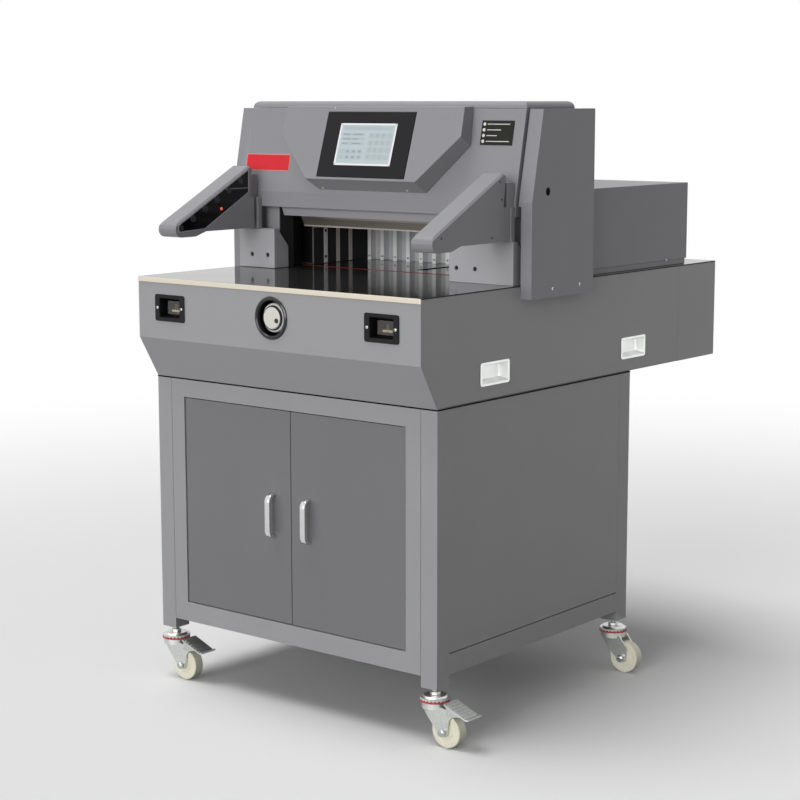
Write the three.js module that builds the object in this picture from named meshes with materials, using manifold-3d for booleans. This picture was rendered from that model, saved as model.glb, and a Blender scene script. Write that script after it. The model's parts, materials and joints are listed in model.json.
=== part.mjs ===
// Programmable paper cutter on a wheeled cabinet, in millimetres, +Z up.
// It is laid out from the middle of its width, its front face and the floor, and is then
// shifted so that the middle of its own box's underside is the origin.
// +X is the operator's right, and the operator stands on the -Y side.
import * as THREE from "three";
import { mergeVertices } from "three/addons/utils/BufferGeometryUtils.js";
import { ConvexGeometry } from "three/addons/geometries/ConvexGeometry.js";
import Module from "manifold-3d";

const wasm = await Module();
wasm.setup();

// Heights from the floor up, and the widths that everything follows
const casterHeight = 121;
const cabinetHeight = 583;
const housingHeight = 228;
const bodyWidth = 800;
const housingDepth = 1152;

// Shared clearances and sheet
const fit = 0.3;
const overrun = 10;
const sheet = 2;
const pinClearance = 0.4;
const mergeShare = 0.001;
const roundSides = 24;
const smallSides = 16;
const holeSides = 8;
const arcSteps = 5;
const nutSides = 6;
const dishSides = 32;

// Cabinet frame of square tube, with its panels
const cabinetSetback = 54;
const cabinetDepth = 719;
const tube = 42;
const tubeWall = 3;
const lowRail = 44;
const lowRailRise = 24;
const stileWidth = 40;
const stileDepth = 24;
const stileSeam = 1;
const panelSheet = 2;
const panelRecess = 0.3;
const panelSeam = 2;
const floorSheet = 3;

// Cabinet doors, their pivot pins and pulls
const doorGap = 2;
const doorDepth = 18;
const doorRecess = 2;
const pinRadius = 4;
const pinFromEdge = 8;
const pinFromFront = 5;
const pinReach = 5;
const pullFromMiddle = 51;
const pullWidth = 14;
const pullLength = 101;
const pullStandoff = 23.5;
const pullThickness = 9;
const pullBend = 20;
const pullDrop = 226;

// Swivel casters
const wheelRadius = 36;
const wheelWidth = 25;
const wheelEdge = 2.5;
const wheelHubRadius = 12;
const wheelHubProud = 1.2;
const wheelWeb = 10.5;
const wheelRim = 8;
const casterTrail = 37;
const axleRadius = 5;
const axleHead = 9;
const axleHeadLength = 5;
const forkSheet = 3;
const forkGap = 2;
const forkEye = 10.5;
const forkNeckRise = 24;
const yokeHeel = 15;
const yokeHeelDrop = 10.5;
const yokeToe = 15;
const yokeToeDrop = 5;
const crownRadius = 29;
const crownDepth = 12;
const crownClear = 8;
const raceRadius = 30;
const raceHeight = 9;
const capRadius = 24;
const capHeight = 4;
const nutRadius = 12;
const plugLength = 34;
const pedalNear = 39;
const pedalReach = 103;
const pedalWidth = 44;
const pedalSheet = 4;
const pedalRise = 5;
const pedalDrop = 22;
const pedalPivot = 50;
const pedalPivotClear = 6;
const pedalPinRadius = 4;
const pedalEye = 7;
const pedalEyeShare = 0.6;
const pedalLip = 8;
const pedalLipRise = 2;
const pedalFlange = 2;
const pedalFlangeGap = 1;
const pedalFlangeReach = 30;
const pedalFlangeHeel = 5;
const shoeStart = 2;
const shoeLength = 4;
const shoeDrop = 8;
const shoeWidth = 18;
const eyeStart = (Math.PI * 4) / 3;

// Housing of the machine under its table
const slantHeight = 93;
const trimHeight = 11;
const trimProud = 2;
const tableThickness = 15;
const edgeStrip = 2.5;
const rearEndDepth = 172;
const pocketFront = 199.5;
const pocketRearInset = 417;
const pocketLength = 93.5;
const pocketBottom = 34;
const pocketHeight = 41.5;
const pocketDepth = 24;
const pocketRim = 3;
const pocketRimProud = 1.2;
const panHem = 26;

// Two-hand cutting buttons on the front
const buttonFromSide = 99;
const buttonLevel = 162.5;
const bezelWidth = 90;
const bezelHeight = 59;
const bezelProud = 3;
const bezelCorner = 5;
const cupWidth = 60;
const cupHeight = 42;
const cupWall = 2.5;
const cupDepth = 28;
const buttonWidth = 34;
const buttonHeight = 22;
const buttonDepth = 9;
const buttonTravel = 4;
const buttonStem = 4;
const buttonStemLength = 22;

// Jog wheel in its round dish
const dialLevel = 162;
const dishRadius = 46;
const dishProud = 4;
const dishLip = 3;
const dishBore = 37;
const dishWall = 2.5;
const dishDepth = 24;
const dialRadius = 24.5;
const dialDepth = 16;
const dialSet = 1;
const dialDimple = 4;
const dialDimpleFromMiddle = 14;
const dialShaft = 5;
const dialShaftLength = 30;

// Table, cutting stick and the slot of the back gauge
const stickFront = 436;
const stickWidth = 12;
const stickDepth = 10;
const stickSpare = 6;
const slotWidth = 24;
const slotFront = 500;
const slotRearInset = 102;
const lugLength = 18;
const lugWidth = 44;
const lugDepth = 44;
const screwDrop = 40;
const screwRadius = 8;

// Cast frame over the table: two cheeks and a beam, with a cutting gap between them
const roomLeft = 102;
const roomRight = 179;
const guideThickness = 3;
const cheekThickness = 42;
const cheekFront = 357;
const frontColumn = 45;
const carrierThickness = 28;
const bladeThickness = 11;
const clampThickness = 32;
const bladeToClamp = 0.7;
const columnShoulder = 293;
const columnTopFront = 375;
const beamHeight = 100;
const beamRise = 40;
const throatHeight = 92.5;
const carrierRise = 36;
const carrierHeight = 232;
const bladeHeight = 122;
const bladeBevel = 20;
const bladeEdgeThickness = 1;
const carrierShift = 18;
const clampHeight = 150;
const guideHeight = 85;
const guideRearInset = 152;

// Back gauge
const gaugeFace = 655;
const gaugeHeight = 84;
const ribWidth = 11;
const ribPitch = 40;
const ribDepth = 20;
const ribFromLeft = 15;
const ribHole = 2.8;
const ribHoleRise = 10;
const ribHoleDepth = 10;
const gaugePlate = 14;
const gaugeSideGap = 1.5;
const gaugeCarriage = 50;
const nutWidth = 38;
const nutHeight = 36;

// Pedestals, which stand before the feet of the cheeks
const pedestalFront = 325;
const pedestalTop = 92;
const pedestalDepth = 50;
const pedestalShoulder = 14;
const pedestalProud = 9;
const pedestalChamferDrop = 42;
const pedestalHole = 5;
const pedestalHoleRise = 30.5;
const pedestalHoleDepth = 8;
const pedestalHoleNear = 13;
const pedestalHoleFar = 62;
const pedestalHoleNearRight = 19;
const pedestalHoleFarRight = 68.5;

// Tower covers on both sides
const towerThickness = 28;
const towerFront = 337;
const towerKnee = 174;
const towerTop = 367.5;
const towerLean = 39;
const towerRear = 570;
const towerSkirt = 28;
const towerLipGap = 4;
const towerLipFoot = 165;
const towerHole = 9;
const towerHoleFront = 395.4;
const towerHoleLevel = 195.6;

// Head cover, its lid and the lip under it
const headInset = 10;
const headFront = 330;
const headBottom = 143;
const headKnee = 178;
const headRear = 545;
const headTop = 368;
const lidHeight = 15;
const lidStep = 1;
const lidOverlap = 12;
const lipFront = 345;
const lipHeight = 20;
const lipInset = 14;
const lipSlant = 9;

// Control pod and its touch screen
const podTop = 372;
const podFaceTop = 337;
const podFaceSlope = 0.32;
const podHalf = 257;
const podHalfTop = 252;
const podSide = 310;
const podFoot = 212;
const podHalfFoot = 157;
const podBaseSide = 288;
const podBaseFoot = 186;
const podHalfBaseFoot = 153;
const podWall = 4;
const screenWidth = 250;
const screenHeight = 148.5;
const screenDepth = 26;
const screenProud = 1;
const screenTopInset = 13;
const displayWidth = 161;
const displayHeight = 96;
const displaySink = 1;

// Light-curtain arms beside the cutting opening
const armInset = 13;
const armWidth = 54;
const armNoseFront = 52;
const armNoseTop = 113;
const armNoseBottom = 84;
const armHeelFront = 115;
const armHeelRear = 148;
const armRearBottom = 94;
const armRear = 306;
const armNotchRear = 293;
const armNotchStep = 2;
const armShoulderRear = 300;
const armShoulder = 228;
const armTopRear = 291;
const armTop = 236;
const armNotchTop = 164;
const armEdge = 4;
const armWall = 3;
const armNoseRadius = 18;
const armFootRear = 329;
const armFootTop = 216;
const armFootWidth = 42;
const postProud = 2.5;
const postDepth = 12;
const windowSink = 2;
const windowThickness = 1.6;
const windowMargin = 5.5;
const windowRear = 289;
const windowRearFoot = 176;
const windowKneeFront = 144;
const windowKneeLevel = 99;
const windowFront = 61;
const windowLevel = 95.5;

// Cover behind the tower
const rearCoverSideInset = 17;
const rearCoverRearInset = 109;
const rearCoverTop = 192;
const rearCoverStep = 13;
const rearCoverInset = 3;

// Drive unit under the table and the power inlet
const driveLength = 190;
const driveRadius = 62;
const driveFoot = 130;
const driveFootDepth = 14;
const driveFromMiddle = 180;
const driveFront = 300;
const gearWidth = 150;
const gearHeight = 150;
const gearDepth = 110;
const outputRadius = 18;
const outputLength = 40;
const inletWidth = 48;
const inletHeight = 34;
const inletDepth = 22;
const inletFlange = 5;
const inletFlangeThickness = 2.5;
const inletFromSide = 100;
const inletLevel = 70;
const inletSlotWidth = 26;
const inletSlotHeight = 17;
const inletSlotDepth = 15;

// Places worked out from the sizes above
const cabinetTop = casterHeight + cabinetHeight;
const deckTop = cabinetTop + housingHeight;
const cabinetHalf = bodyWidth / 2;
const openingLeft = cabinetHalf - roomLeft;
const openingRight = cabinetHalf - roomRight;
const headHalf = cabinetHalf - headInset;
const armOuter = cabinetHalf - armInset;
const armInner = armOuter - armWidth;
const rearCoverHalf = cabinetHalf - rearCoverSideInset;
const buttonFromMiddle = cabinetHalf - buttonFromSide;
const inletFromMiddle = cabinetHalf - inletFromSide;
const slotRear = housingDepth - slotRearInset;
const guideRear = housingDepth - guideRearInset;
const sideSeam = housingDepth - rearEndDepth;
const pocketRear = housingDepth - pocketRearInset;
const rearCoverRear = housingDepth - rearCoverRearInset;
const cabinetRear = cabinetSetback + cabinetDepth;
const crownTop = wheelRadius * 2 + crownClear + crownDepth;
const pedalLevel = crownTop + pedalRise;
const pedalPivotLevel = wheelRadius * 2 + pedalPivotClear;
const lowRailBottom = casterHeight + lowRailRise;
const lowRailTop = lowRailBottom + lowRail;
const topRailBottom = cabinetTop - tube;
const doorwayHalf = cabinetHalf - tube - stileWidth;
const doorFront = cabinetSetback + doorRecess;
const panTop = cabinetTop + fit + sheet;
const frontColumnRear = cheekFront + frontColumn;
const carrierFront = frontColumnRear + fit;
const bladeFront = carrierFront + carrierThickness + fit;
const bladeRear = bladeFront + bladeThickness;
const clampFront = bladeRear + bladeToClamp;
const clampRear = clampFront + clampThickness;
const beamFront = clampRear + fit;
const cheekLeftInner = -(openingLeft + guideThickness + fit);
const cheekRightInner = openingRight + guideThickness + fit;
const throatTop = deckTop + throatHeight;
const frameTop = deckTop + headTop + lidHeight - sheet - fit;
const carrierTop = throatTop + carrierRise + carrierHeight;
const screwLevel = deckTop - screwDrop;
const headSlope = towerLean / (towerTop - towerKnee);
const lidFront = headFaceAt(deckTop + headTop) + lidStep;

// Finishes, as colour, roughness and metalness
const finishes = {
  frontPaint: [0xa3a3a5, 0.5, 0.1],
  cabinetPaint: [0x9c9c9e, 0.5, 0.1],
  doorPaint: [0x808082, 0.3, 0.1],
  headPaint: [0x929296, 0.5, 0.1],
  blackPlastic: [0x2b2b2d, 0.4, 0],
  glassBlack: [0x101012, 0.1, 0],
  polishedIron: [0xc8c8ca, 0.08, 1],
  chrome: [0xd8d8da, 0.15, 1],
  zinc: [0xc4c6c2, 0.35, 0.9],
  nylon: [0xe3e3cc, 0.5, 0],
  redPlastic: [0xb02a28, 0.5, 0],
  trimMetal: [0xd8d2c0, 0.35, 0.8],
  castPaint: [0x9c9c9f, 0.5, 0.1],
  toolSteel: [0xb8b8b4, 0.2, 1],
  ivoryPlastic: [0xdedccb, 0.4, 0],
  buttonLens: [0x3a3420, 0.2, 0],
};

// Solids

function solidOf(geometry) {
  const plain = geometry.index ? geometry.toNonIndexed() : geometry.clone();
  plain.deleteAttribute("normal");
  plain.deleteAttribute("uv");
  const merged = mergeVertices(plain, fit * mergeShare);
  return new wasm.Manifold(
    new wasm.Mesh({
      numProp: 3,
      vertProperties: merged.attributes.position.array,
      triVerts: new Uint32Array(merged.index.array),
    }),
  );
}

function geometryOf(solid) {
  const mesh = solid.getMesh();
  const geometry = new THREE.BufferGeometry();
  geometry.setAttribute("position", new THREE.BufferAttribute(mesh.vertProperties, 3));
  geometry.setIndex(new THREE.BufferAttribute(mesh.triVerts, 1));
  return geometry;
}

function join(...geometries) {
  return geometryOf(geometries.map(solidOf).reduce((sum, next) => sum.add(next)));
}

function cut(geometry, ...tools) {
  const whole = solidOf(geometry);
  return geometryOf(tools.map(solidOf).reduce((left, tool) => left.subtract(tool), whole));
}

// Sets one coordinate of a unit shape to exactly its low or high end.
function stretch(geometry, axis, [low, high], middle) {
  const place = geometry.attributes.position;
  for (let i = 0; i < place.count; i += 1) {
    place.setComponent(i, axis, place.getComponent(i, axis) < middle ? low : high);
  }
  return geometry;
}

function block(x, y, z) {
  const box = new THREE.BoxGeometry(1, 1, 1);
  return stretch(stretch(stretch(box, 0, x, 0), 1, y, 0), 2, z, 0);
}

function shapeOf(points) {
  return new THREE.Shape(points.map(([u, v]) => new THREE.Vector2(u, v)));
}

function unitSlab(points) {
  return new THREE.ExtrudeGeometry(shapeOf(points), { depth: 1, bevelEnabled: false });
}

// An outline of [y, z] points, extruded along X.
function slabX(points, x) {
  const turn = new THREE.Matrix4().makeBasis(
    new THREE.Vector3(0, 1, 0),
    new THREE.Vector3(0, 0, 1),
    new THREE.Vector3(1, 0, 0),
  );
  return stretch(unitSlab(points).applyMatrix4(turn), 0, x, 0.5);
}

// An outline of [x, z] points, extruded along Y.
function slabY(points, y) {
  return stretch(unitSlab(points).rotateX(Math.PI / 2).translate(0, 1, 0), 1, y, 0.5);
}

// An outline of [x, y] points, extruded along Z.
function slabZ(points, z) {
  return stretch(unitSlab(points), 2, z, 0.5);
}

function rodX(radius, x, y, z, sides = smallSides) {
  const rod = new THREE.CylinderGeometry(radius, radius, 1, sides);
  return stretch(rod.rotateZ(-Math.PI / 2).translate(0, y, z), 0, x, 0);
}

function rodY(radius, y, x, z, sides = smallSides) {
  const rod = new THREE.CylinderGeometry(radius, radius, 1, sides);
  return stretch(rod.translate(x, 0, z), 1, y, 0);
}

function rodZ(radius, z, x, y, sides = smallSides) {
  const rod = new THREE.CylinderGeometry(radius, radius, 1, sides);
  return stretch(rod.rotateX(Math.PI / 2).translate(x, y, 0), 2, z, 0);
}

// A profile of [radius, y] points, turned about the Y axis.
function turned(profile, sides = roundSides) {
  const points = profile.map(([radius, y]) => new THREE.Vector2(radius, y));
  return new THREE.LatheGeometry(points, sides);
}

// A rectangle about a middle point with rounded corners, as points.
function roundedRectangle(u, v, width, height, corner) {
  const points = [];
  const reach = [width / 2 - corner, height / 2 - corner];
  for (let quarter = 0; quarter < 4; quarter += 1) {
    const su = quarter === 0 || quarter === 3 ? 1 : -1;
    const sv = quarter < 2 ? 1 : -1;
    for (let step = 0; step <= arcSteps; step += 1) {
      const angle = (quarter + step / arcSteps) * (Math.PI / 2);
      const du = su * reach[0] + corner * Math.cos(angle);
      const dv = sv * reach[1] + corner * Math.sin(angle);
      points.push([u + du, v + dv]);
    }
  }
  return points;
}

// The interval from near to far on the right side, or its mirror image when side is -1.
function span(side, near, far) {
  return side > 0 ? [near, far] : [-far, -near];
}

const machine = new THREE.Group();

function piece(name, geometry, finish, parent = machine) {
  const [color, roughness, metalness] = finishes[finish];
  const material = new THREE.MeshStandardMaterial({ color, roughness, metalness });
  const mesh = new THREE.Mesh(geometry, material);
  mesh.name = name;
  parent.add(mesh);
  return mesh;
}

const sides = [
  ["left", -1],
  ["right", 1],
];

// Cabinet

function pinPlace(side) {
  return [side * (doorwayHalf - doorGap - pinFromEdge), doorFront + pinFromFront];
}

function cabinetFrame() {
  const outer = [];
  const hollow = [];
  const legReach = cabinetHalf - tube;
  const rowsY = [
    [cabinetSetback, cabinetSetback + tube],
    [cabinetRear - tube, cabinetRear],
  ];
  const railLevels = [
    [lowRailBottom, lowRailTop],
    [topRailBottom, cabinetTop],
  ];
  const railReaches = [cabinetHalf, cabinetHalf - panelRecess - panelSheet - fit];
  const inside = ([low, high]) => [low + tubeWall, high - tubeWall];
  const past = ([low, high]) => [low - overrun, high + overrun];
  for (const [, side] of sides) {
    const legX = span(side, legReach, cabinetHalf);
    for (const rowY of rowsY) {
      outer.push(block(legX, rowY, [casterHeight, cabinetTop]));
      hollow.push(block(inside(legX), inside(rowY), [casterHeight - overrun, cabinetTop - tubeWall]));
    }
    railLevels.forEach((level, i) => {
      const railX = span(side, legReach, railReaches[i]);
      outer.push(block(railX, [rowsY[0][0], rowsY[1][1]], level));
      hollow.push(block(inside(railX), past([rowsY[0][1], rowsY[1][0]]), inside(level)));
    });
    const stileX = span(side, doorwayHalf, legReach - stileSeam);
    const stileY = [cabinetSetback, cabinetSetback + stileDepth];
    outer.push(block(stileX, stileY, past([lowRailTop, topRailBottom])));
    const seamY = [cabinetSetback - overrun, cabinetSetback + stileSeam];
    const seamX = span(side, legReach - stileSeam, legReach);
    hollow.push(block(seamX, seamY, past([lowRailBottom, cabinetTop])));
    const [pinX, pinY] = pinPlace(side);
    const bore = pinRadius + pinClearance;
    hollow.push(rodZ(bore, [lowRailTop - tubeWall - overrun, lowRailTop + overrun], pinX, pinY));
    hollow.push(rodZ(bore, [topRailBottom - overrun, topRailBottom + tubeWall + overrun], pinX, pinY));
  }
  for (const rowY of rowsY) {
    for (const level of railLevels) {
      outer.push(block([-legReach - overrun, legReach + overrun], rowY, level));
      hollow.push(block(past([-legReach, legReach]), inside(rowY), inside(level)));
    }
  }
  return cut(join(...outer), ...hollow);
}

function sidePanel(side) {
  const outer = cabinetHalf - panelRecess;
  const y = [cabinetSetback + tube + fit, cabinetRear - tube - fit];
  const z = [lowRailTop + panelSeam, cabinetTop - fit];
  return block(span(side, outer - panelSheet, outer), y, z);
}

function backPanel() {
  const rear = cabinetRear - panelRecess;
  const x = cabinetHalf - tube - fit;
  return block([-x, x], [rear - panelSheet, rear], [lowRailTop + fit, topRailBottom - fit]);
}

// The floor is a tray that lies on the low rails and turns down between them.
function cabinetFloor() {
  const x = cabinetHalf - tube - fit;
  const front = cabinetSetback + stileDepth + fit;
  const rear = cabinetRear - tube - fit;
  const z = lowRailTop + fit;
  return block([-x, x], [front, rear], [z, z + floorSheet]);
}

function door(side) {
  const outer = doorwayHalf - doorGap;
  const inner = doorGap / 2;
  const bottom = lowRailTop + doorGap;
  const top = topRailBottom - doorGap;
  const pan = block(span(side, inner, outer), [doorFront, doorFront + doorDepth], [bottom, top]);
  const hollow = block(
    span(side, inner + sheet, outer - sheet),
    [doorFront + sheet, doorFront + doorDepth + overrun],
    [bottom + sheet, top - sheet],
  );
  const [x, y] = pinPlace(side);
  const lowPin = rodZ(pinRadius, [bottom - pinReach, bottom + sheet], x, y);
  const topPin = rodZ(pinRadius, [top - sheet, top + pinReach], x, y);
  return join(cut(pan, hollow), lowPin, topPin);
}

// A flat bar bent into a D, as one outline in the YZ plane.
function doorPull(side) {
  const top = cabinetTop - pullDrop;
  const bottom = top - pullLength;
  const rear = doorFront - fit;
  const front = rear - pullStandoff;
  const outline = (margin, bend) => {
    const points = [[rear, top - margin]];
    for (const [level, turn] of [
      [top - margin - bend, 1],
      [bottom + margin + bend, -1],
    ]) {
      const start = turn > 0 ? 0 : 1;
      for (let step = 0; step <= arcSteps; step += 1) {
        const angle = (Math.PI / 2) * Math.abs(start - step / arcSteps);
        points.push([front + margin + bend * (1 - Math.sin(angle)), level + turn * bend * Math.cos(angle)]);
      }
    }
    points.push([rear, bottom + margin]);
    return points;
  };
  const outside = outline(0, pullBend);
  const inside = outline(pullThickness, pullBend - pullThickness);
  const x = span(side, pullFromMiddle - pullWidth / 2, pullFromMiddle + pullWidth / 2);
  return slabX([...outside, ...inside.reverse()], x);
}

// Casters, each about its own stem

function casterStem() {
  const raceBottom = crownTop + fit;
  const raceTop = raceBottom + raceHeight;
  const plugHalf = tube / 2 - tubeWall - fit;
  return join(
    rodZ(raceRadius, [raceBottom, raceTop], 0, 0, roundSides),
    rodZ(capRadius, [raceTop - fit, raceTop + capHeight], 0, 0, roundSides),
    rodZ(nutRadius, [raceTop, casterHeight - fit], 0, 0, nutSides),
    rodZ(nutRadius / 2, [raceTop, casterHeight + plugLength / 2], 0, 0),
    block([-plugHalf, plugHalf], [-plugHalf, plugHalf], [casterHeight + fit, casterHeight + plugLength]),
  );
}

// The fork's plan is a U: a half ellipse behind, with two straight cheeks in front.
function yokePlan(margin, front) {
  const half = wheelWidth / 2 + forkGap + forkSheet - margin;
  const points = [
    [front, -half],
    [front, half],
  ];
  for (let step = 0; step <= roundSides; step += 1) {
    const angle = Math.PI * (1 / 2 + step / roundSides);
    points.push([(crownRadius - margin) * Math.cos(angle), half * Math.sin(angle)]);
  }
  return points;
}

// The outline that both cheeks of a fork have, seen from the side.
function cheekOutline(braked) {
  const underside = crownTop - crownDepth;
  const top = crownTop - crownDepth / 2;
  const cheek = [
    [-crownRadius - overrun, top],
    [-crownRadius - overrun, underside],
    [-yokeHeel, underside - yokeHeelDrop],
    [casterTrail - yokeToe, wheelRadius - yokeToeDrop],
  ];
  for (let step = 0; step <= arcSteps; step += 1) {
    const angle = THREE.MathUtils.lerp(eyeStart, Math.PI * 2, step / arcSteps);
    cheek.push([casterTrail + forkEye * Math.cos(angle), wheelRadius + forkEye * Math.sin(angle)]);
  }
  cheek.push([casterTrail + forkEye, wheelRadius + forkNeckRise]);
  if (braked) {
    cheek.push([pedalPivot + pedalEye, pedalPivotLevel - pedalEye]);
    cheek.push([pedalPivot + pedalEye, pedalPivotLevel + pedalEye * pedalEyeShare]);
  }
  cheek.push([crownRadius, top]);
  return cheek;
}

function casterFork(braked) {
  const axleHalf = wheelWidth / 2 + forkGap + forkSheet;
  const top = crownTop - crownDepth / 2;
  const reach = pedalReach;
  const channel = cut(
    slabZ(yokePlan(0, reach), [0, top]),
    slabZ(yokePlan(forkSheet, reach + overrun), [-overrun, top + overrun]),
  );
  const past = [-reach - overrun, reach + overrun];
  const surround = cut(block(past, past, [-overrun, crownTop]), slabY(cheekOutline(braked), past));
  const parts = [
    cut(channel, surround),
    rodZ(crownRadius, [crownTop - crownDepth, crownTop], 0, 0, roundSides),
    rodY(axleRadius, [-axleHalf, axleHalf], casterTrail, wheelRadius),
  ];
  if (braked) {
    parts.push(rodY(pedalPinRadius, [-axleHalf, axleHalf], pedalPivot, pedalPivotLevel));
  }
  for (const side of [-1, 1]) {
    const head = span(side, axleHalf - fit, axleHalf + axleHeadLength);
    parts.push(rodY(axleHead, head, casterTrail, wheelRadius, nutSides));
  }
  return join(...parts);
}

function casterWheel() {
  const half = wheelWidth / 2;
  const bore = axleRadius + pinClearance;
  const hubHalf = half + wheelHubProud;
  const rim = wheelRadius - wheelRim;
  const profile = [
    [bore, -hubHalf],
    [wheelHubRadius, -hubHalf],
    [wheelHubRadius, -wheelWeb],
    [rim, -wheelWeb],
    [rim, -half],
    [wheelRadius - wheelEdge, -half],
    [wheelRadius, -half + wheelEdge],
    [wheelRadius, half - wheelEdge],
    [wheelRadius - wheelEdge, half],
    [rim, half],
    [rim, wheelWeb],
    [wheelHubRadius, wheelWeb],
    [wheelHubRadius, hubHalf],
    [bore, hubHalf],
    [bore, -hubHalf],
  ];
  return turned(profile).translate(casterTrail, 0, wheelRadius);
}

// The brake pedal: an eye on the fork's pin, a shoe over the tread, a sloping tread plate and two
// flanges outside the fork.
function casterPedal() {
  const eyeHalf = wheelWidth / 2 + forkGap - fit;
  const flangeInner = wheelWidth / 2 + forkGap + forkSheet + pedalFlangeGap;
  const lipStart = pedalReach - pedalLip;
  const topAt = (x) => pedalLevel - (pedalDrop * (x - pedalNear)) / (lipStart - pedalNear);
  const plate = [
    [pedalNear, topAt(pedalNear) - pedalSheet],
    [lipStart, topAt(lipStart) - pedalSheet],
    [pedalReach, topAt(lipStart) - pedalSheet + pedalLipRise],
    [pedalReach, topAt(lipStart) + pedalLipRise],
    [lipStart, topAt(lipStart)],
    [pedalNear, topAt(pedalNear)],
  ];
  const eye = [];
  for (let step = 0; step <= arcSteps * 2; step += 1) {
    const angle = Math.PI * (1 + step / (arcSteps * 2));
    eye.push([pedalPivot + pedalEye * Math.cos(angle), pedalPivotLevel + pedalEye * Math.sin(angle)]);
  }
  eye.push([pedalPivot + pedalEye, topAt(pedalPivot + pedalEye) - fit]);
  eye.push([pedalPivot - pedalEye, topAt(pedalPivot - pedalEye) - fit]);
  const flangeEnd = pedalPivot + pedalFlangeReach;
  const flange = [
    [pedalPivot - pedalEye, pedalPivotLevel - pedalEye + pedalFlangeHeel],
    [pedalPivot - pedalEye + pedalFlangeHeel, pedalPivotLevel - pedalEye],
    [pedalPivot + pedalEye, pedalPivotLevel - pedalEye],
    [flangeEnd, topAt(flangeEnd) - pedalSheet],
    [flangeEnd, topAt(flangeEnd) - fit],
    [pedalPivot - pedalEye, topAt(pedalPivot - pedalEye) - fit],
  ];
  const parts = [
    slabY(eye, [-eyeHalf, eyeHalf]),
    slabY(plate, [-pedalWidth / 2, pedalWidth / 2]),
    block(
      [pedalPivot + shoeStart, pedalPivot + shoeStart + shoeLength],
      [-shoeWidth / 2, shoeWidth / 2],
      [pedalPivotLevel - shoeDrop, pedalPivotLevel],
    ),
  ];
  for (const side of [-1, 1]) {
    parts.push(slabY(flange, span(side, flangeInner, flangeInner + pedalFlange)));
  }
  const bore = pedalPinRadius + pinClearance;
  return cut(join(...parts), rodY(bore, [-eyeHalf - fit, eyeHalf + fit], pedalPivot, pedalPivotLevel));
}

// Housing under the table

// The front's outline from the trim strip down, set back by a margin.
function frontOutline(margin) {
  const slope = cabinetSetback / slantHeight;
  const kneeShift = margin * (Math.hypot(1, slope) - slope);
  return [
    [margin, cabinetTop + slantHeight + kneeShift],
    [cabinetSetback + kneeShift, cabinetTop + fit + margin],
  ];
}

function housingFront() {
  const top = deckTop - trimHeight - fit;
  const outer = frontOutline(0);
  const inner = frontOutline(sheet);
  const hemEnd = cabinetSetback + panHem;
  const outline = [
    [0, top],
    ...outer,
    [hemEnd, cabinetTop + fit],
    [hemEnd, panTop],
    ...[...inner].reverse(),
    [sheet, top],
  ];
  const cover = slabX(outline, [-cabinetHalf, cabinetHalf]);
  const through = [-overrun, sheet + overrun];
  const level = cabinetTop + buttonLevel;
  const holes = sides.map(([, side]) => {
    const x = side * buttonFromMiddle;
    return slabY(roundedRectangle(x, level, cupWidth + fit * 2, cupHeight + fit * 2, bezelCorner), through);
  });
  holes.push(rodY(dishBore + dishWall + fit, through, 0, cabinetTop + dialLevel, dishSides));
  return cut(cover, ...holes);
}

function pocketSpans() {
  const level = cabinetTop + pocketBottom;
  return [pocketFront, pocketRear].map((start) => [
    [start, start + pocketLength],
    [level, level + pocketHeight],
  ]);
}

// A side panel with its two finger pockets sunk in it.
function housingSide(side) {
  const outline = [
    [sheet + fit, deckTop - edgeStrip],
    ...frontOutline(sheet + fit),
    [sideSeam - fit, panTop + fit],
    [sideSeam - fit, deckTop - edgeStrip],
  ];
  const inner = cabinetHalf - pocketDepth;
  const parts = [slabX(outline, span(side, cabinetHalf - sheet, cabinetHalf))];
  const hollows = [];
  for (const [[y0, y1], [z0, z1]] of pocketSpans()) {
    const cup = span(side, inner - pocketRim, cabinetHalf + pocketRimProud);
    parts.push(block(cup, [y0 - pocketRim, y1 + pocketRim], [z0 - pocketRim, z1 + pocketRim]));
    hollows.push(block(span(side, inner, cabinetHalf + overrun), [y0, y1], [z0, z1]));
  }
  return cut(join(...parts), ...hollows);
}

// The rear end: a pan that closes the underside, with the rear wall and two short sides.
function housingRear() {
  const top = deckTop - edgeStrip;
  const front = cabinetSetback + panHem + fit;
  const parts = [
    block([-cabinetHalf + sheet, cabinetHalf - sheet], [front, housingDepth], [cabinetTop + fit, panTop]),
    block([-cabinetHalf, cabinetHalf], [housingDepth - sheet, housingDepth], [cabinetTop + fit, top]),
  ];
  for (const [, side] of sides) {
    const wall = span(side, cabinetHalf - sheet, cabinetHalf);
    parts.push(block(wall, [sideSeam, housingDepth], [cabinetTop + fit, top]));
  }
  const inlet = [-inletFromMiddle, cabinetTop + inletLevel];
  const hole = block(
    [inlet[0] - inletWidth / 2 - fit, inlet[0] + inletWidth / 2 + fit],
    [housingDepth - overrun, housingDepth + overrun],
    [inlet[1] - inletHeight / 2 - fit, inlet[1] + inletHeight / 2 + fit],
  );
  return cut(join(...parts), hole);
}

function frontTrim() {
  return block([-cabinetHalf, cabinetHalf], [-trimProud, sheet], [deckTop - trimHeight, deckTop]);
}

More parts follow.
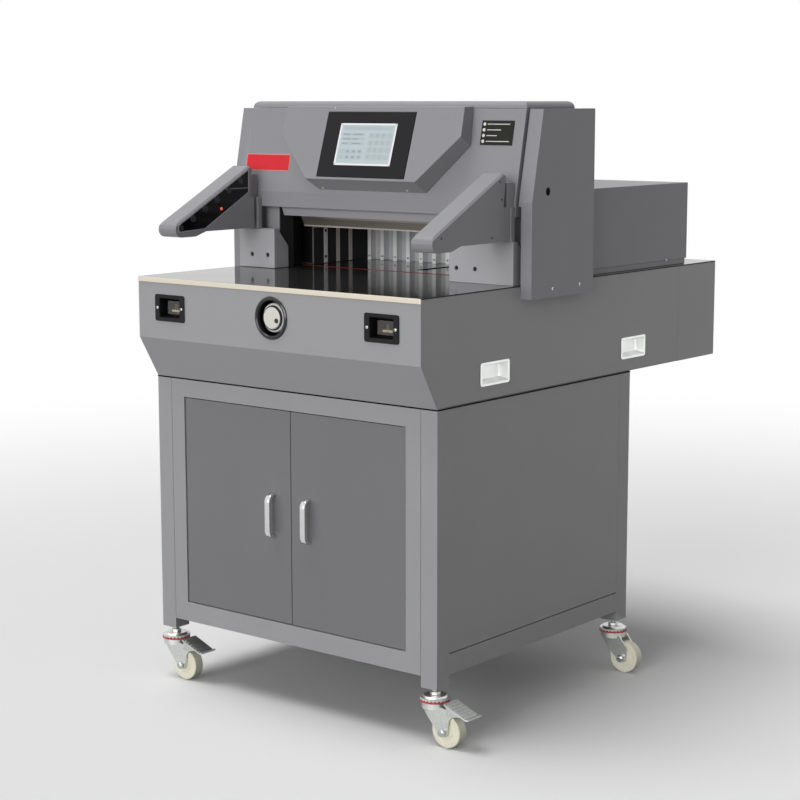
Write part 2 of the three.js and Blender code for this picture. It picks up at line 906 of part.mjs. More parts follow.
// Table plate with the stick's groove, the back gauge's slot and two bearing lugs beneath
function tablePlate() {
  const half = cabinetHalf - sheet - fit;
  const depth = [sheet + fit, housingDepth - sheet - fit];
  const parts = [block([-half, half], depth, [deckTop - tableThickness, deckTop])];
  for (const lugFront of [slotFront - lugLength - fit, slotRear + fit]) {
    parts.push(
      block(
        [-lugWidth / 2, lugWidth / 2],
        [lugFront, lugFront + lugLength],
        [screwLevel - lugDepth / 2, deckTop - tableThickness / 2],
      ),
    );
  }
  const groove = block(
    [-stickReach(-1) - fit, stickReach(1) + fit],
    [stickFront - fit, stickFront + stickWidth + fit],
    [deckTop - stickDepth - fit, deckTop + overrun],
  );
  const slot = block(
    [-slotWidth / 2, slotWidth / 2],
    [slotFront, slotRear],
    [deckTop - tableThickness - overrun, deckTop + overrun],
  );
  const bore = rodY(
    screwRadius + pinClearance,
    [slotFront - lugLength - overrun, slotRear + lugLength + overrun],
    0,
    screwLevel,
    roundSides,
  );
  return cut(join(...parts), groove, slot, bore);
}

// How far the cutting stick reaches from the middle to one side.
function stickReach(side) {
  return (side > 0 ? openingRight : openingLeft) + stickSpare;
}

function cuttingStick() {
  return block(
    [-stickReach(-1), stickReach(1)],
    [stickFront, stickFront + stickWidth],
    [deckTop - stickDepth, deckTop],
  );
}

// Buttons and jog wheel

function buttonBezel(side) {
  const x = side * buttonFromMiddle;
  const z = cabinetTop + buttonLevel;
  const plate = slabY(roundedRectangle(x, z, bezelWidth, bezelHeight, bezelCorner), [-bezelProud, -fit]);
  const cup = slabY(roundedRectangle(x, z, cupWidth, cupHeight, bezelCorner), [-bezelProud, cupDepth]);
  const hollow = slabY(
    roundedRectangle(x, z, cupWidth - cupWall * 2, cupHeight - cupWall * 2, bezelCorner - cupWall),
    [-overrun, cupDepth - cupWall],
  );
  const bore = rodY(buttonStem + pinClearance, [0, cupDepth + overrun], x, z);
  return cut(join(plate, cup), hollow, bore);
}

function cutButton(side) {
  const x = side * buttonFromMiddle;
  const z = cabinetTop + buttonLevel;
  const rear = cupDepth - cupWall - buttonTravel - fit;
  const front = rear - buttonDepth;
  const cap = slabY(roundedRectangle(x, z, buttonWidth, buttonHeight, bezelCorner), [front, rear]);
  return join(cap, rodY(buttonStem, [rear - fit, rear + buttonStemLength], x, z));
}

function jogDish() {
  const rear = dishDepth;
  const profile = [
    [dialShaft + pinClearance, rear - dishWall],
    [dishBore, rear - dishWall],
    [dishBore, -dishProud + dishLip],
    [dishBore + dishLip, -dishProud],
    [dishRadius - dishLip, -dishProud],
    [dishRadius, -dishProud + dishLip],
    [dishRadius, -fit],
    [dishBore + dishWall, -fit],
    [dishBore + dishWall, rear],
    [dialShaft + pinClearance, rear],
    [dialShaft + pinClearance, rear - dishWall],
  ];
  return turned(profile, dishSides).translate(0, 0, cabinetTop + dialLevel);
}

function jogWheel() {
  const z = cabinetTop + dialLevel;
  const rear = dialSet + dialDepth;
  const disc = turned(
    [
      [0, dialSet],
      [dialRadius - dishLip, dialSet],
      [dialRadius, dialSet + dishLip],
      [dialRadius, rear],
      [0, rear],
    ],
    dishSides,
  ).translate(0, 0, z);
  const shaft = rodY(dialShaft, [rear - fit, rear + dialShaftLength], 0, z);
  const dimple = rodY(dialDimple, [-overrun, dialSet + dialDimple], dialDimpleFromMiddle, z, smallSides);
  return cut(join(disc, shaft), dimple);
}

// Cast frame, knife and clamp

function cheekX(side) {
  if (side > 0) return [cheekRightInner, cheekRightInner + cheekThickness];
  return [cheekLeftInner - cheekThickness, cheekLeftInner];
}

function machineFrame() {
  const foot = deckTop + fit;
  const rear = headRear - fit;
  const column = [
    [cheekFront, foot],
    [frontColumnRear, foot],
    [frontColumnRear, frameTop],
    [columnTopFront, frameTop],
    [columnTopFront, deckTop + columnShoulder + (columnTopFront - cheekFront) / headSlope / 2],
    [cheekFront, deckTop + columnShoulder],
  ];
  const parts = [];
  for (const [, side] of sides) {
    const x = cheekX(side);
    parts.push(slabX(column, x));
    parts.push(block(x, [beamFront, rear], [foot, frameTop]));
    parts.push(block(x, [columnTopFront, rear], [carrierTop + fit, frameTop]));
  }
  const across = [cheekX(-1)[0], cheekX(1)[1]];
  parts.push(block(across, [bladeFront, rear], [carrierTop - beamHeight, frameTop]));
  parts.push(block(across, [beamFront, rear], [throatTop + beamRise, frameTop]));
  return join(...parts);
}

// The knife carrier hangs at the rear faces of the front columns.
function knifeCarrier() {
  const x = [cheekX(-1)[0] + carrierShift * 2, cheekX(1)[1]];
  return block(x, [carrierFront, bladeFront - fit], [throatTop + carrierRise, carrierTop]);
}

function knifeBlade() {
  const x = [-openingLeft, openingRight + guideThickness + carrierShift * 2];
  const outline = [
    [bladeRear, throatTop],
    [bladeRear, throatTop + bladeHeight],
    [bladeFront, throatTop + bladeHeight],
    [bladeFront, throatTop + bladeBevel],
    [bladeRear - bladeEdgeThickness, throatTop],
  ];
  return slabX(outline, x);
}

function clampBar() {
  const x = [-openingLeft + fit, openingRight - fit];
  return block(x, [clampFront, clampRear], [throatTop, throatTop + clampHeight]);
}

function sideGuide(side) {
  const opening = side > 0 ? openingRight : openingLeft;
  const x = span(side, opening, opening + guideThickness);
  return block(x, [beamFront, guideRear], [deckTop + fit, deckTop + guideHeight]);
}

// Back gauge: a comb of ribs on a plate, with a carriage and a nut below the table
function backGauge() {
  const x = [-openingLeft + gaugeSideGap, openingRight - gaugeSideGap];
  const foot = deckTop + fit;
  const plateFront = gaugeFace + ribDepth;
  const plateRear = plateFront + gaugePlate;
  const parts = [block(x, [plateFront, plateRear], [foot, deckTop + gaugeHeight])];
  const holes = [];
  for (let left = -openingLeft + ribFromLeft; left < openingRight - ribWidth; left += ribPitch) {
    const rib = [gaugeFace, plateFront + fit];
    parts.push(block([left, left + ribWidth], rib, [foot, deckTop + gaugeHeight]));
    const middle = left + ribWidth / 2;
    const depth = [gaugeFace - overrun, gaugeFace + ribHoleDepth];
    holes.push(rodY(ribHole, depth, middle, deckTop + ribHoleRise, holeSides));
  }
  const carriage = [plateRear - fit, plateFront + gaugeCarriage];
  const neckHalf = slotWidth / 2 - fit;
  parts.push(block([-nutWidth, nutWidth], carriage, [foot, foot + gaugePlate]));
  parts.push(block([-neckHalf, neckHalf], carriage, [screwLevel, foot + fit]));
  parts.push(
    block([-nutWidth / 2, nutWidth / 2], carriage, [screwLevel - nutHeight / 2, screwLevel + nutHeight / 2]),
  );
  const bore = rodY(
    screwRadius + pinClearance,
    [plateFront - overrun, plateFront + gaugeCarriage + overrun],
    0,
    screwLevel,
    roundSides,
  );
  return cut(join(...parts), bore, ...holes);
}

function gaugeScrew() {
  return rodY(screwRadius, [slotFront - lugLength, slotRear + lugLength], 0, screwLevel);
}

// Pedestals, tower covers and guard arms

function pedestal(side) {
  const foot = deckTop + fit;
  const top = deckTop + pedestalTop;
  const rear = pedestalFront + pedestalDepth;
  const outline = [
    [pedestalFront, foot],
    [rear, foot],
    [rear, top - pedestalChamferDrop],
    [pedestalFront + pedestalShoulder, top],
    [pedestalFront, top],
  ];
  const inner = side > 0 ? openingRight : -openingLeft;
  const x = side > 0 ? [inner, armOuter + postProud] : [-cabinetHalf, inner + pedestalProud];
  const [c0, c1] = cheekX(side);
  const tall = [foot - overrun, top + overrun];
  const around = block(
    [Math.min(c0, inner) - fit, Math.max(c1, inner) + fit],
    [cheekFront - fit, rear + overrun],
    tall,
  );
  const reachesLeft = [pedestalHoleNear, pedestalHoleFar];
  const reachesRight = [pedestalHoleNearRight, pedestalHoleFarRight];
  const reaches = side > 0 ? reachesRight : reachesLeft;
  const holes = reaches.map((reach) =>
    rodY(
      pedestalHole,
      [pedestalFront - overrun, pedestalFront + pedestalHoleDepth],
      inner + side * reach,
      deckTop + pedestalHoleRise,
      smallSides,
    ),
  );
  return cut(slabX(outline, x), around, ...holes);
}

// A tower cover is a pan whose open side faces the machine, with a lip along the head's front.
function towerCover(side) {
  const outline = (margin) => [
    [towerFront + margin, deckTop - towerSkirt + margin],
    [towerRear - margin, deckTop - towerSkirt + margin],
    [towerRear - margin, deckTop + towerTop - margin],
    [towerFront + towerLean + margin, deckTop + towerTop - margin],
    [towerFront + margin, deckTop + towerKnee + margin * headSlope],
  ];
  const inner = cabinetHalf + fit;
  const outer = cabinetHalf + towerThickness;
  const shell = slabX(outline(0), span(side, inner, outer));
  const hollow = slabX(outline(sheet), span(side, inner - overrun, outer - sheet));
  const hole = rodX(
    towerHole,
    span(side, inner, outer + overrun),
    towerHoleFront,
    deckTop + towerHoleLevel,
  );
  const lip = slabX(
    [
      [towerFront, deckTop + towerLipFoot],
      [towerFront + sheet, deckTop + towerLipFoot],
      [towerFront + sheet, deckTop + towerKnee + sheet * headSlope],
      [towerFront + towerLean + sheet, deckTop + towerTop],
      [towerFront + towerLean, deckTop + towerTop],
      [towerFront, deckTop + towerKnee],
    ],
    span(side, headHalf + towerLipGap, outer - sheet),
  );
  return join(cut(shell, hollow, hole), lip);
}

function guardArm(side) {
  const z = (rise) => deckTop + rise;
  const outline = [
    ...armNose(),
    [armHeelFront, z(armNoseBottom)],
    [armHeelRear, z(armRearBottom)],
    [armRear, z(armRearBottom)],
    [armRear, z(armNotchTop)],
    [armNotchRear, z(armNotchTop + armNotchStep)],
    [armShoulderRear, z(armShoulder)],
    [armTopRear, z(armTop)],
  ];
  const body = slabX(outline, span(side, armInner, armOuter));
  const foot = block(
    span(side, armOuter - armFootWidth, armOuter),
    [armRear - fit, armFootRear],
    [z(pedestalTop) + fit, z(armFootTop)],
  );
  const post = block(
    span(side, armInner - postProud, armOuter + postProud),
    [armFootRear - postDepth, armFootRear],
    [z(pedestalTop) + fit, z(armNotchTop)],
  );
  const sink = slabX(windowOutline(-fit), span(side, armInner - overrun, armInner + windowSink));
  const hollow = slabX(windowOutline(armWall), span(side, armInner, armOuter - armWall));
  return cut(join(edgeCut(body, side), foot, post), sink, hollow);
}

// The nose is an arc that runs from the slanted top edge to the level underside.
function armNose() {
  const turn = Math.atan2(armTop - armNoseTop, armTopRear - armNoseFront);
  const y = armNoseFront + armNoseRadius;
  const z = deckTop + armNoseBottom + armNoseRadius;
  const points = [];
  for (let step = 0; step <= arcSteps; step += 1) {
    const angle = turn + Math.PI / 2 + (Math.PI - turn) * (step / arcSteps);
    points.push([y + armNoseRadius * Math.cos(angle), z + armNoseRadius * Math.sin(angle)]);
  }
  return points;
}

// The long upper edges of an arm are bevelled.
function edgeCut(body, side) {
  const run = Math.hypot(armTopRear - armNoseFront, armTop - armNoseTop);
  const tools = [armInner, armOuter].map((x) => {
    const bar = new THREE.BoxGeometry(armEdge * Math.SQRT2, run * 2, armEdge * Math.SQRT2);
    bar.rotateY(Math.PI / 4);
    bar.rotateX(Math.atan2(armTop - armNoseTop, armTopRear - armNoseFront));
    return bar.translate(side * x, (armNoseFront + armTopRear) / 2, deckTop + (armNoseTop + armTop) / 2);
  });
  return cut(body, ...tools);
}

// The sensor strip's outline follows the arm's slanted top edge.
function windowOutline(margin) {
  const slope = (armTop - armNoseTop) / (armTopRear - armNoseFront);
  const upper = (y) => deckTop + armNoseTop + (y - armNoseFront) * slope - windowMargin - margin;
  const z = (rise) => deckTop + rise + margin;
  return [
    [windowFront + margin, z(windowLevel)],
    [windowKneeFront, z(windowKneeLevel)],
    [windowRear - margin, z(windowRearFoot)],
    [windowRear - margin, upper(windowRear)],
    [windowFront + margin, upper(windowFront)],
  ];
}

function sensorWindow(side) {
  const outer = armInner + windowSink - fit;
  return slabX(windowOutline(0), span(side, outer - windowThickness, outer));
}

// Head: cover, lid, control pod and touch screen

function headFaceAt(level) {
  return headFront + Math.max(0, level - deckTop - headKnee) * headSlope;
}

function headCover() {
  const bottom = deckTop + headBottom;
  const top = deckTop + headTop - fit;
  const knee = deckTop + headKnee;
  const outer = [
    [headRear, bottom],
    [headRear, top],
    [headFaceAt(top), top],
    [headFront, knee],
    [headFront, bottom],
  ];
  const inner = [
    [headRear + overrun, bottom - overrun],
    [headRear + overrun, top + overrun],
    [headFaceAt(top + overrun) + sheet, top + overrun],
    [headFront + sheet, knee],
    [headFront + sheet, bottom - overrun],
  ];
  const shell = cut(
    slabX(outer, [-headHalf, headHalf]),
    slabX(inner, [-headHalf + sheet, headHalf - sheet]),
  );
  const half = headHalf - sheet / 2;
  const flange = block([-half, half], [headFront + sheet / 2, lipFront + sheet], [bottom, bottom + sheet]);
  const lip = slabY(
    [
      [-openingLeft + lipInset, bottom + sheet],
      [-openingLeft + lipInset + lipSlant, bottom - lipHeight],
      [openingRight - lipInset - lipSlant, bottom - lipHeight],
      [openingRight - lipInset, bottom + sheet],
    ],
    [lipFront, lipFront + sheet],
  );
  return join(shell, flange, lip);
}

// The lid is a tray over the head, with a long drop behind that ends before the rear cover's front edge.
function headLid() {
  const bottom = deckTop + headTop;
  const top = bottom + lidHeight;
  const rear = headRear + fit + sheet;
  const dropBottom = deckTop + rearCoverTop - lidOverlap;
  const outline = [
    [lidFront, bottom],
    [rear - sheet, bottom],
    [rear - sheet, dropBottom],
    [rear, dropBottom],
    [rear, top],
    [lidFront, top],
  ];
  const hollow = block(
    [-headHalf + sheet, headHalf - sheet],
    [lidFront + sheet, rear - sheet],
    [bottom - overrun, top - sheet],
  );
  return cut(slabX(outline, [-headHalf, headHalf]), hollow);
}

function podFaceAt(level) {
  return podFaceTop - (deckTop + podTop - level) * podFaceSlope;
}

// Turns a solid laid out on the pod's face, with Z outwards, into its place.
const podTurn = Math.atan2(1, podFaceSlope);

function onPodFace(geometry) {
  return geometry.rotateX(podTurn).translate(0, podFaceTop, deckTop + podTop);
}

function screenBlock(margin, proud) {
  const top = -screenTopInset + margin;
  const bottom = -screenTopInset - screenHeight - margin;
  const half = screenWidth / 2 + margin;
  return block([-half, half], [bottom, top], [-screenDepth - margin, proud]);
}

// The pod's outer form, or its hollow when a wall is given, which runs on past its open rear.
function podForm(wall) {
  const points = [];
  const past = wall > 0 ? overrun : -fit;
  const add = (half, rise, y) => {
    for (const [, side] of sides) points.push(new THREE.Vector3(side * (half - wall), y, deckTop + rise));
  };
  const face = (half, rise) => add(half, rise, podFaceAt(deckTop + rise) + wall);
  const base = (half, rise) => add(half, rise, headFaceAt(deckTop + rise) + past);
  face(podHalfTop, podTop - wall);
  face(podHalf, podSide);
  face(podHalfFoot, podFoot + wall);
  base(podHalf, podBaseSide);
  base(podHalfBaseFoot, podBaseFoot + wall);
  base(podHalfTop, headTop - fit - wall);
  base(podHalfTop, podTop - wall);
  return new ConvexGeometry(points);
}

function controlPod() {
  return cut(podForm(0), podForm(podWall), onPodFace(screenBlock(fit, overrun)));
}

// The screen is modelled flat and stands in its own turned group.
function touchScreen() {
  const middle = -screenTopInset - screenHeight / 2;
  const display = block(
    [-displayWidth / 2, displayWidth / 2],
    [middle - displayHeight / 2, middle + displayHeight / 2],
    [screenProud - displaySink, screenProud + overrun],
  );
  return cut(screenBlock(0, screenProud), display);
}

// Rear cover: a hood with a stepped skirt, open in front and below
function rearCover() {
  const bottom = deckTop + fit;
  const step = deckTop + rearCoverStep;
  const top = deckTop + rearCoverTop;
  const front = headRear + sheet + fit * 2;
  const hood = (half, rear, z, drop) =>
    cut(
      block([-half, half], [front, rear], z),
      block([-half + sheet, half - sheet], [front - overrun, rear - sheet], [z[0] - overrun, z[1] - drop]),
    );
  const upper = hood(rearCoverHalf, rearCoverRear, [step, top], sheet);
  const skirtHalf = rearCoverHalf - rearCoverInset;
  const skirt = hood(skirtHalf, rearCoverRear - rearCoverInset, [bottom, step + sheet], -overrun);
  const ledge = cut(
    block([-rearCoverHalf, rearCoverHalf], [front, rearCoverRear], [step, step + sheet]),
    block(
      [-skirtHalf + sheet, skirtHalf - sheet],
      [front - overrun, rearCoverRear - rearCoverInset - sheet],
      [step - overrun, step + overrun],
    ),
  );
  return join(upper, skirt, ledge);
}

// Drive unit on the pan: a gearbox with its motor behind and its output shaft in front
function driveUnit() {
  const x = driveFromMiddle;
  const foot = panTop + fit;
  const gearBottom = foot + driveFootDepth;
  const axis = gearBottom + gearHeight / 2;
  const rear = driveFront + gearDepth;
  const end = rear + driveLength;
  const across = (width) => [x - width / 2, x + width / 2];
  return join(
    block(across(driveFoot), [driveFront, end], [foot, gearBottom + fit]),
    block(across(gearWidth), [driveFront, rear], [gearBottom, gearBottom + gearHeight]),
    rodY(driveRadius, [rear - fit, end], x, axis, roundSides),
    block(across(driveFootDepth * 2), [rear, end], [foot, axis]),
    rodY(outputRadius, [driveFront - outputLength, driveFront + fit], x, axis),
  );
}

function powerInlet() {
  const x = -inletFromMiddle;
  const z = cabinetTop + inletLevel;
  const body = block(
    [x - inletWidth / 2, x + inletWidth / 2],
    [housingDepth - inletDepth, housingDepth + inletFlangeThickness],
    [z - inletHeight / 2, z + inletHeight / 2],
  );
  const flange = block(
    [x - inletWidth / 2 - inletFlange, x + inletWidth / 2 + inletFlange],
    [housingDepth + fit, housingDepth + inletFlangeThickness],
    [z - inletHeight / 2 - inletFlange, z + inletHeight / 2 + inletFlange],
  );
  const slot = block(
    [x - inletSlotWidth / 2, x + inletSlotWidth / 2],
    [housingDepth + inletFlangeThickness - inletSlotDepth, housingDepth + overrun],
    [z - inletSlotHeight / 2, z + inletSlotHeight / 2],
  );
  return cut(join(body, flange), slot);
}

// Assembly

piece("cabinet_frame", cabinetFrame(), "cabinetPaint");
piece("cabinet_floor", cabinetFloor(), "cabinetPaint");
piece("cabinet_back", backPanel(), "cabinetPaint");
piece("housing_front", housingFront(), "frontPaint");
piece("housing_rear", housingRear(), "frontPaint");
piece("table_plate", tablePlate(), "polishedIron");
piece("front_trim", frontTrim(), "trimMetal");
piece("cutting_stick", cuttingStick(), "redPlastic");
piece("jog_dish", jogDish(), "blackPlastic");
piece("jog_wheel", jogWheel(), "ivoryPlastic");
piece("machine_frame", machineFrame(), "castPaint");
piece("clamp_bar", clampBar(), "toolSteel");
piece("knife_carrier", knifeCarrier(), "castPaint");
piece("knife_blade", knifeBlade(), "toolSteel");
piece("back_gauge", backGauge(), "chrome");
piece("gauge_screw", gaugeScrew(), "toolSteel");
piece("head_cover", headCover(), "headPaint");
piece("head_lid", headLid(), "headPaint");
piece("control_pod", controlPod(), "headPaint");
piece("rear_cover", rearCover(), "frontPaint");
piece("drive_unit", driveUnit(), "castPaint");
piece("power_inlet", powerInlet(), "blackPlastic");

const screenMount = new THREE.Group();
screenMount.rotation.x = podTurn;
screenMount.position.set(0, podFaceTop, deckTop + podTop);
machine.add(screenMount);
piece("touch_screen", touchScreen(), "blackPlastic", screenMount);

for (const [word, side] of sides) {
  piece(`cabinet_side_${word}`, sidePanel(side), "cabinetPaint");
  piece(`door_${word}`, door(side), "doorPaint");
  piece(`door_pull_${word}`, doorPull(side), "chrome");
  piece(`housing_${word}`, housingSide(side), "frontPaint");
  piece(`button_bezel_${word}`, buttonBezel(side), "blackPlastic");
  piece(`cut_button_${word}`, cutButton(side), "buttonLens");
  piece(`side_guide_${word}`, sideGuide(side), "glassBlack");
  piece(`pedestal_${word}`, pedestal(side), "castPaint");
  piece(`tower_cover_${word}`, towerCover(side), "headPaint");
  piece(`guard_arm_${word}`, guardArm(side), "headPaint");
  piece(`sensor_window_${word}`, sensorWindow(side), "glassBlack");
}

for (const [end, y] of [
  ["front", cabinetSetback + tube / 2],
  ["rear", cabinetRear - tube / 2],
]) {
  for (const [word, side] of sides) {
    const caster = new THREE.Group();
    caster.position.set(side * (cabinetHalf - tube / 2), y, 0);
    machine.add(caster);
    const braked = end === "front";
    piece(`caster_stem_${end}_${word}`, casterStem(), "zinc", caster);
    piece(`caster_fork_${end}_${word}`, casterFork(braked), "zinc", caster);
    piece(`caster_wheel_${end}_${word}`, casterWheel(), "nylon", caster);
    if (braked) piece(`caster_pedal_${end}_${word}`, casterPedal(), "zinc", caster);
  }
}

const cutter = new THREE.Group();
cutter.add(machine);
const middle = new THREE.Box3().setFromObject(machine).getCenter(new THREE.Vector3());
machine.position.set(-middle.x, -middle.y, 0);

export default cutter;
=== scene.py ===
import json
import math

import bmesh
import bpy
from mathutils import Matrix, Vector


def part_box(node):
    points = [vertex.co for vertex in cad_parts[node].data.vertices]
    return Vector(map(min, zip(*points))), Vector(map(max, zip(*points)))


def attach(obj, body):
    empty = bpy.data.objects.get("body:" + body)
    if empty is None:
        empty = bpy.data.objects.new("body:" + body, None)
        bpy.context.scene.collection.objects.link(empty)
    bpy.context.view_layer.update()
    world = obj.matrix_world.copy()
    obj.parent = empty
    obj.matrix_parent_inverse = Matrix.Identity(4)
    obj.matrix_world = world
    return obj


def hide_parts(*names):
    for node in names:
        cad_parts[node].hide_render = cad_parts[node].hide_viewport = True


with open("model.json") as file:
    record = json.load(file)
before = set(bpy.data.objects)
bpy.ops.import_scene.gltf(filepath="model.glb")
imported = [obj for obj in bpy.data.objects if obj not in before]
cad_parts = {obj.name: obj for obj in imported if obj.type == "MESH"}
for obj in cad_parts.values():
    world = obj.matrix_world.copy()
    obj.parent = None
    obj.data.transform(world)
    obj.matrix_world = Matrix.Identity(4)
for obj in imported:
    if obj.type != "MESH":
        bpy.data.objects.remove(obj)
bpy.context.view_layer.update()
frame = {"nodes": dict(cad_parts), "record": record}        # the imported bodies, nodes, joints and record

# Everything below is in millimetres from the middle of the machine's width, its front and the floor
MM = 0.001
housing_low, housing_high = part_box("housing_front")
HOME = Matrix.Translation(((housing_low.x + housing_high.x) / 2, housing_low.y, 0)) @ Matrix.Scale(MM, 4)
SHOP = HOME.inverted()

# Ways that a fitting can face, with its own X across, Y up and Z outwards
FRONTWARDS = Matrix.Rotation(math.radians(90), 4, "X")
RIGHTWARDS = Matrix(((0, 0, 1), (1, 0, 0), (0, 1, 0))).to_4x4()
LEFTWARDS = Matrix(((0, 0, -1), (-1, 0, 0), (0, 1, 0))).to_4x4()
REARWARDS = Matrix(((-1, 0, 0), (0, 0, 1), (0, 1, 0))).to_4x4()
SIDES = {"left": -1, "right": 1}

SPIN_STEPS = 64
# An edge is rounded where it turns sharply, or turns a little between two wide faces
SHARP_TURN = math.radians(25)
CREASE_TURN = math.radians(8)
WIDE_FACE = 5.0
# Faces that turn less than the first share their shading, and those under the second are one flat face
SMOOTH_TURN = math.radians(50)
FLAT_TURN = math.radians(0.5)
# Corners that are nearer than this are one corner
WELD = 0.01
# The smallest gap, step or rounding
HAIR = 0.3


def spans(node):
    """A node's lowest and highest corner."""
    return [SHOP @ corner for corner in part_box(node)]


def on(x, y, z, facing):
    """The place of a fitting and the way that it faces."""
    return Matrix.Translation((x, y, z)) @ facing


CABINET_TOP = spans("cabinet_frame")[1].z
TABLE_TOP = spans("table_plate")[1].z
HALF_WIDTH = spans("housing_right")[1].x
HALF_WIDTH_SHEET = spans("front_trim")[1].x

# Finishes


def srgb(code):
    """The linear colour of an sRGB hex value."""
    shares = [int(code[place:place + 2], 16) / 255 for place in (1, 3, 5)]
    return [share / 12.92 if share <= 0.04045 else ((share + 0.055) / 1.055) ** 2.4 for share in shares] + [1]


def per(size):
    """How many cells of a size in millimetres lie in one metre."""
    return 1 / (size * MM)


def add(tree, kind, sockets=None, **settings):
    """Adds a node, with the values or links that its sockets take."""
    made = tree.nodes.new("ShaderNode" + kind)
    for name, value in settings.items():
        setattr(made, name, value)
    for socket, value in (sockets or {}).items():
        if isinstance(value, bpy.types.NodeSocket):
            tree.links.new(value, made.inputs[socket])
        else:
            made.inputs[socket].default_value = value
    return made


def begun(name):
    """Begins a finish: its material, its node tree and the place on the piece."""
    material = bpy.data.materials.new(name)
    material.use_nodes = True
    tree = material.node_tree
    tree.nodes.clear()
    return material, tree, add(tree, "TexCoord").outputs["Object"]


def finish(material, **sockets):
    """Ends a finish with its shader, and the values or links that the shader's sockets take."""
    tree = material.node_tree
    values = {name.replace("_", " "): value for name, value in sockets.items()}
    shader = add(tree, "BsdfPrincipled", values)
    add(tree, "OutputMaterial", {"Surface": shader.outputs["BSDF"]})
    return material


def powder_coat(name, colour, tone, gloss, depth=0.012):
    """Powder coat baked on sheet steel: an even satin colour that drifts a little between two tones over
    a hand's width, and a faint orange peel, drawn three times as coarse as it is so that it shows."""
    material, tree, place = begun(name)
    patches = add(tree, "TexNoise", {"Vector": place, "Scale": per(170), "Detail": 3.0})
    tones = add(tree, "Mix", {0: patches.outputs[0], 6: srgb(colour), 7: srgb(tone)}, data_type="RGBA")
    bloom = add(tree, "TexNoise", {"Vector": place, "Scale": per(35), "Detail": 4.0})
    sheen = add(tree, "MapRange", {"Value": bloom.outputs[0], "To Min": gloss - 0.05, "To Max": gloss + 0.05})
    orange = add(tree, "TexNoise", {"Vector": place, "Scale": per(2.4), "Detail": 2.0})
    bump = add(tree, "Bump", {"Height": orange.outputs[0], "Strength": 0.5, "Distance": depth * MM})
    return finish(
        material, IOR=1.5, Base_Color=tones.outputs[2], Roughness=sheen.outputs[0], Normal=bump.outputs[0]
    )


# Where the slideways begin and end, front to rear
WAYS = (402.2, 475.0)


def cast_enamel(name, colour, tone):
    """Sprayed enamel on cast iron: satin, over the coarse skin that a sand mould leaves. Where the knife runs
    in its slideways the colour is painted near black, as painted shade for the dark deep in its slot."""
    material, tree, place = begun(name)
    patches = add(tree, "TexNoise", {"Vector": place, "Scale": per(60), "Detail": 4.0})
    tones = add(tree, "Mix", {0: patches.outputs[0], 6: srgb(colour), 7: srgb(tone)}, data_type="RGBA")
    depth = add(tree, "SeparateXYZ", {0: place}).outputs["Y"]
    front, rear = [(HOME @ Vector((0, reach, 0))).y for reach in WAYS]
    behind = add(tree, "Math", {0: depth, 1: front}, operation="GREATER_THAN")
    before = add(tree, "Math", {0: depth, 1: rear}, operation="LESS_THAN")
    ways = add(tree, "Math", {0: behind.outputs[0], 1: before.outputs[0]}, operation="MULTIPLY")
    # Painted shade: near black inside the slideways' band, for the dark deep in the knife's slot
    slot_shade = add(tree, "Mix", {0: ways.outputs[0], 6: tones.outputs[2], 7: srgb("#121212")}, data_type="RGBA")
    sand = add(tree, "TexVoronoi", {"Vector": place, "Scale": per(3.2)}, feature="SMOOTH_F1")
    bump = add(tree, "Bump", {"Height": sand.outputs[0], "Strength": 0.4, "Distance": 0.05 * MM})
    return finish(material, IOR=1.5, Roughness=0.46, Base_Color=slot_shade.outputs[2], Normal=bump.outputs[0])


def moulded_plastic(name, colour, tone, gloss, shine=0.5, depth=0.05):
    """Moulded ABS: a fine spark-eroded grain that breaks up the gloss, and a tone that hardly drifts."""
    material, tree, place = begun(name)
    flow = add(tree, "TexNoise", {"Vector": place, "Scale": per(22), "Detail": 3.0})
    tones = add(tree, "Mix", {0: flow.outputs[0], 6: srgb(colour), 7: srgb(tone)}, data_type="RGBA")
    touch = add(tree, "MapRange", {"Value": flow.outputs[0], "To Min": gloss - 0.06, "To Max": gloss + 0.06})
    sparks = add(tree, "TexVoronoi", {"Vector": place, "Scale": per(1.4)}, feature="F1")
    bump = add(tree, "Bump", {"Height": sparks.outputs[0], "Strength": 0.3, "Distance": depth * MM})
    return finish(
        material, IOR=1.53, Specular_IOR_Level=shine,
        Base_Color=tones.outputs[2], Roughness=touch.outputs[0], Normal=bump.outputs[0],
    )


def gloss_plastic(name, colour, tone, gloss=0.08, shine=0.5, glow=0.0):
    """Cast acrylic, polycarbonate or lacquer: a mirror gloss dulled in soft patches by handling, and a
    little light of its own where it is a lamp's lens; under the clear button caps that glow is also
    painted light, for the light that falls on the lenses through the caps."""
    material, tree, place = begun(name)
    hands = add(tree, "TexNoise", {"Vector": place, "Scale": per(28), "Detail": 5.0, "Roughness": 0.6})
    tones = add(tree, "Mix", {0: hands.outputs[0], 6: srgb(colour), 7: srgb(tone)}, data_type="RGBA")
    haze = add(tree, "MapRange", {"Value": hands.outputs[0], "To Min": gloss * 0.5, "To Max": gloss * 1.8})
    return finish(
        material, IOR=1.49, Specular_IOR_Level=shine, Emission_Color=srgb(colour), Emission_Strength=glow,
        Base_Color=tones.outputs[2], Roughness=haze.outputs[0],
    )


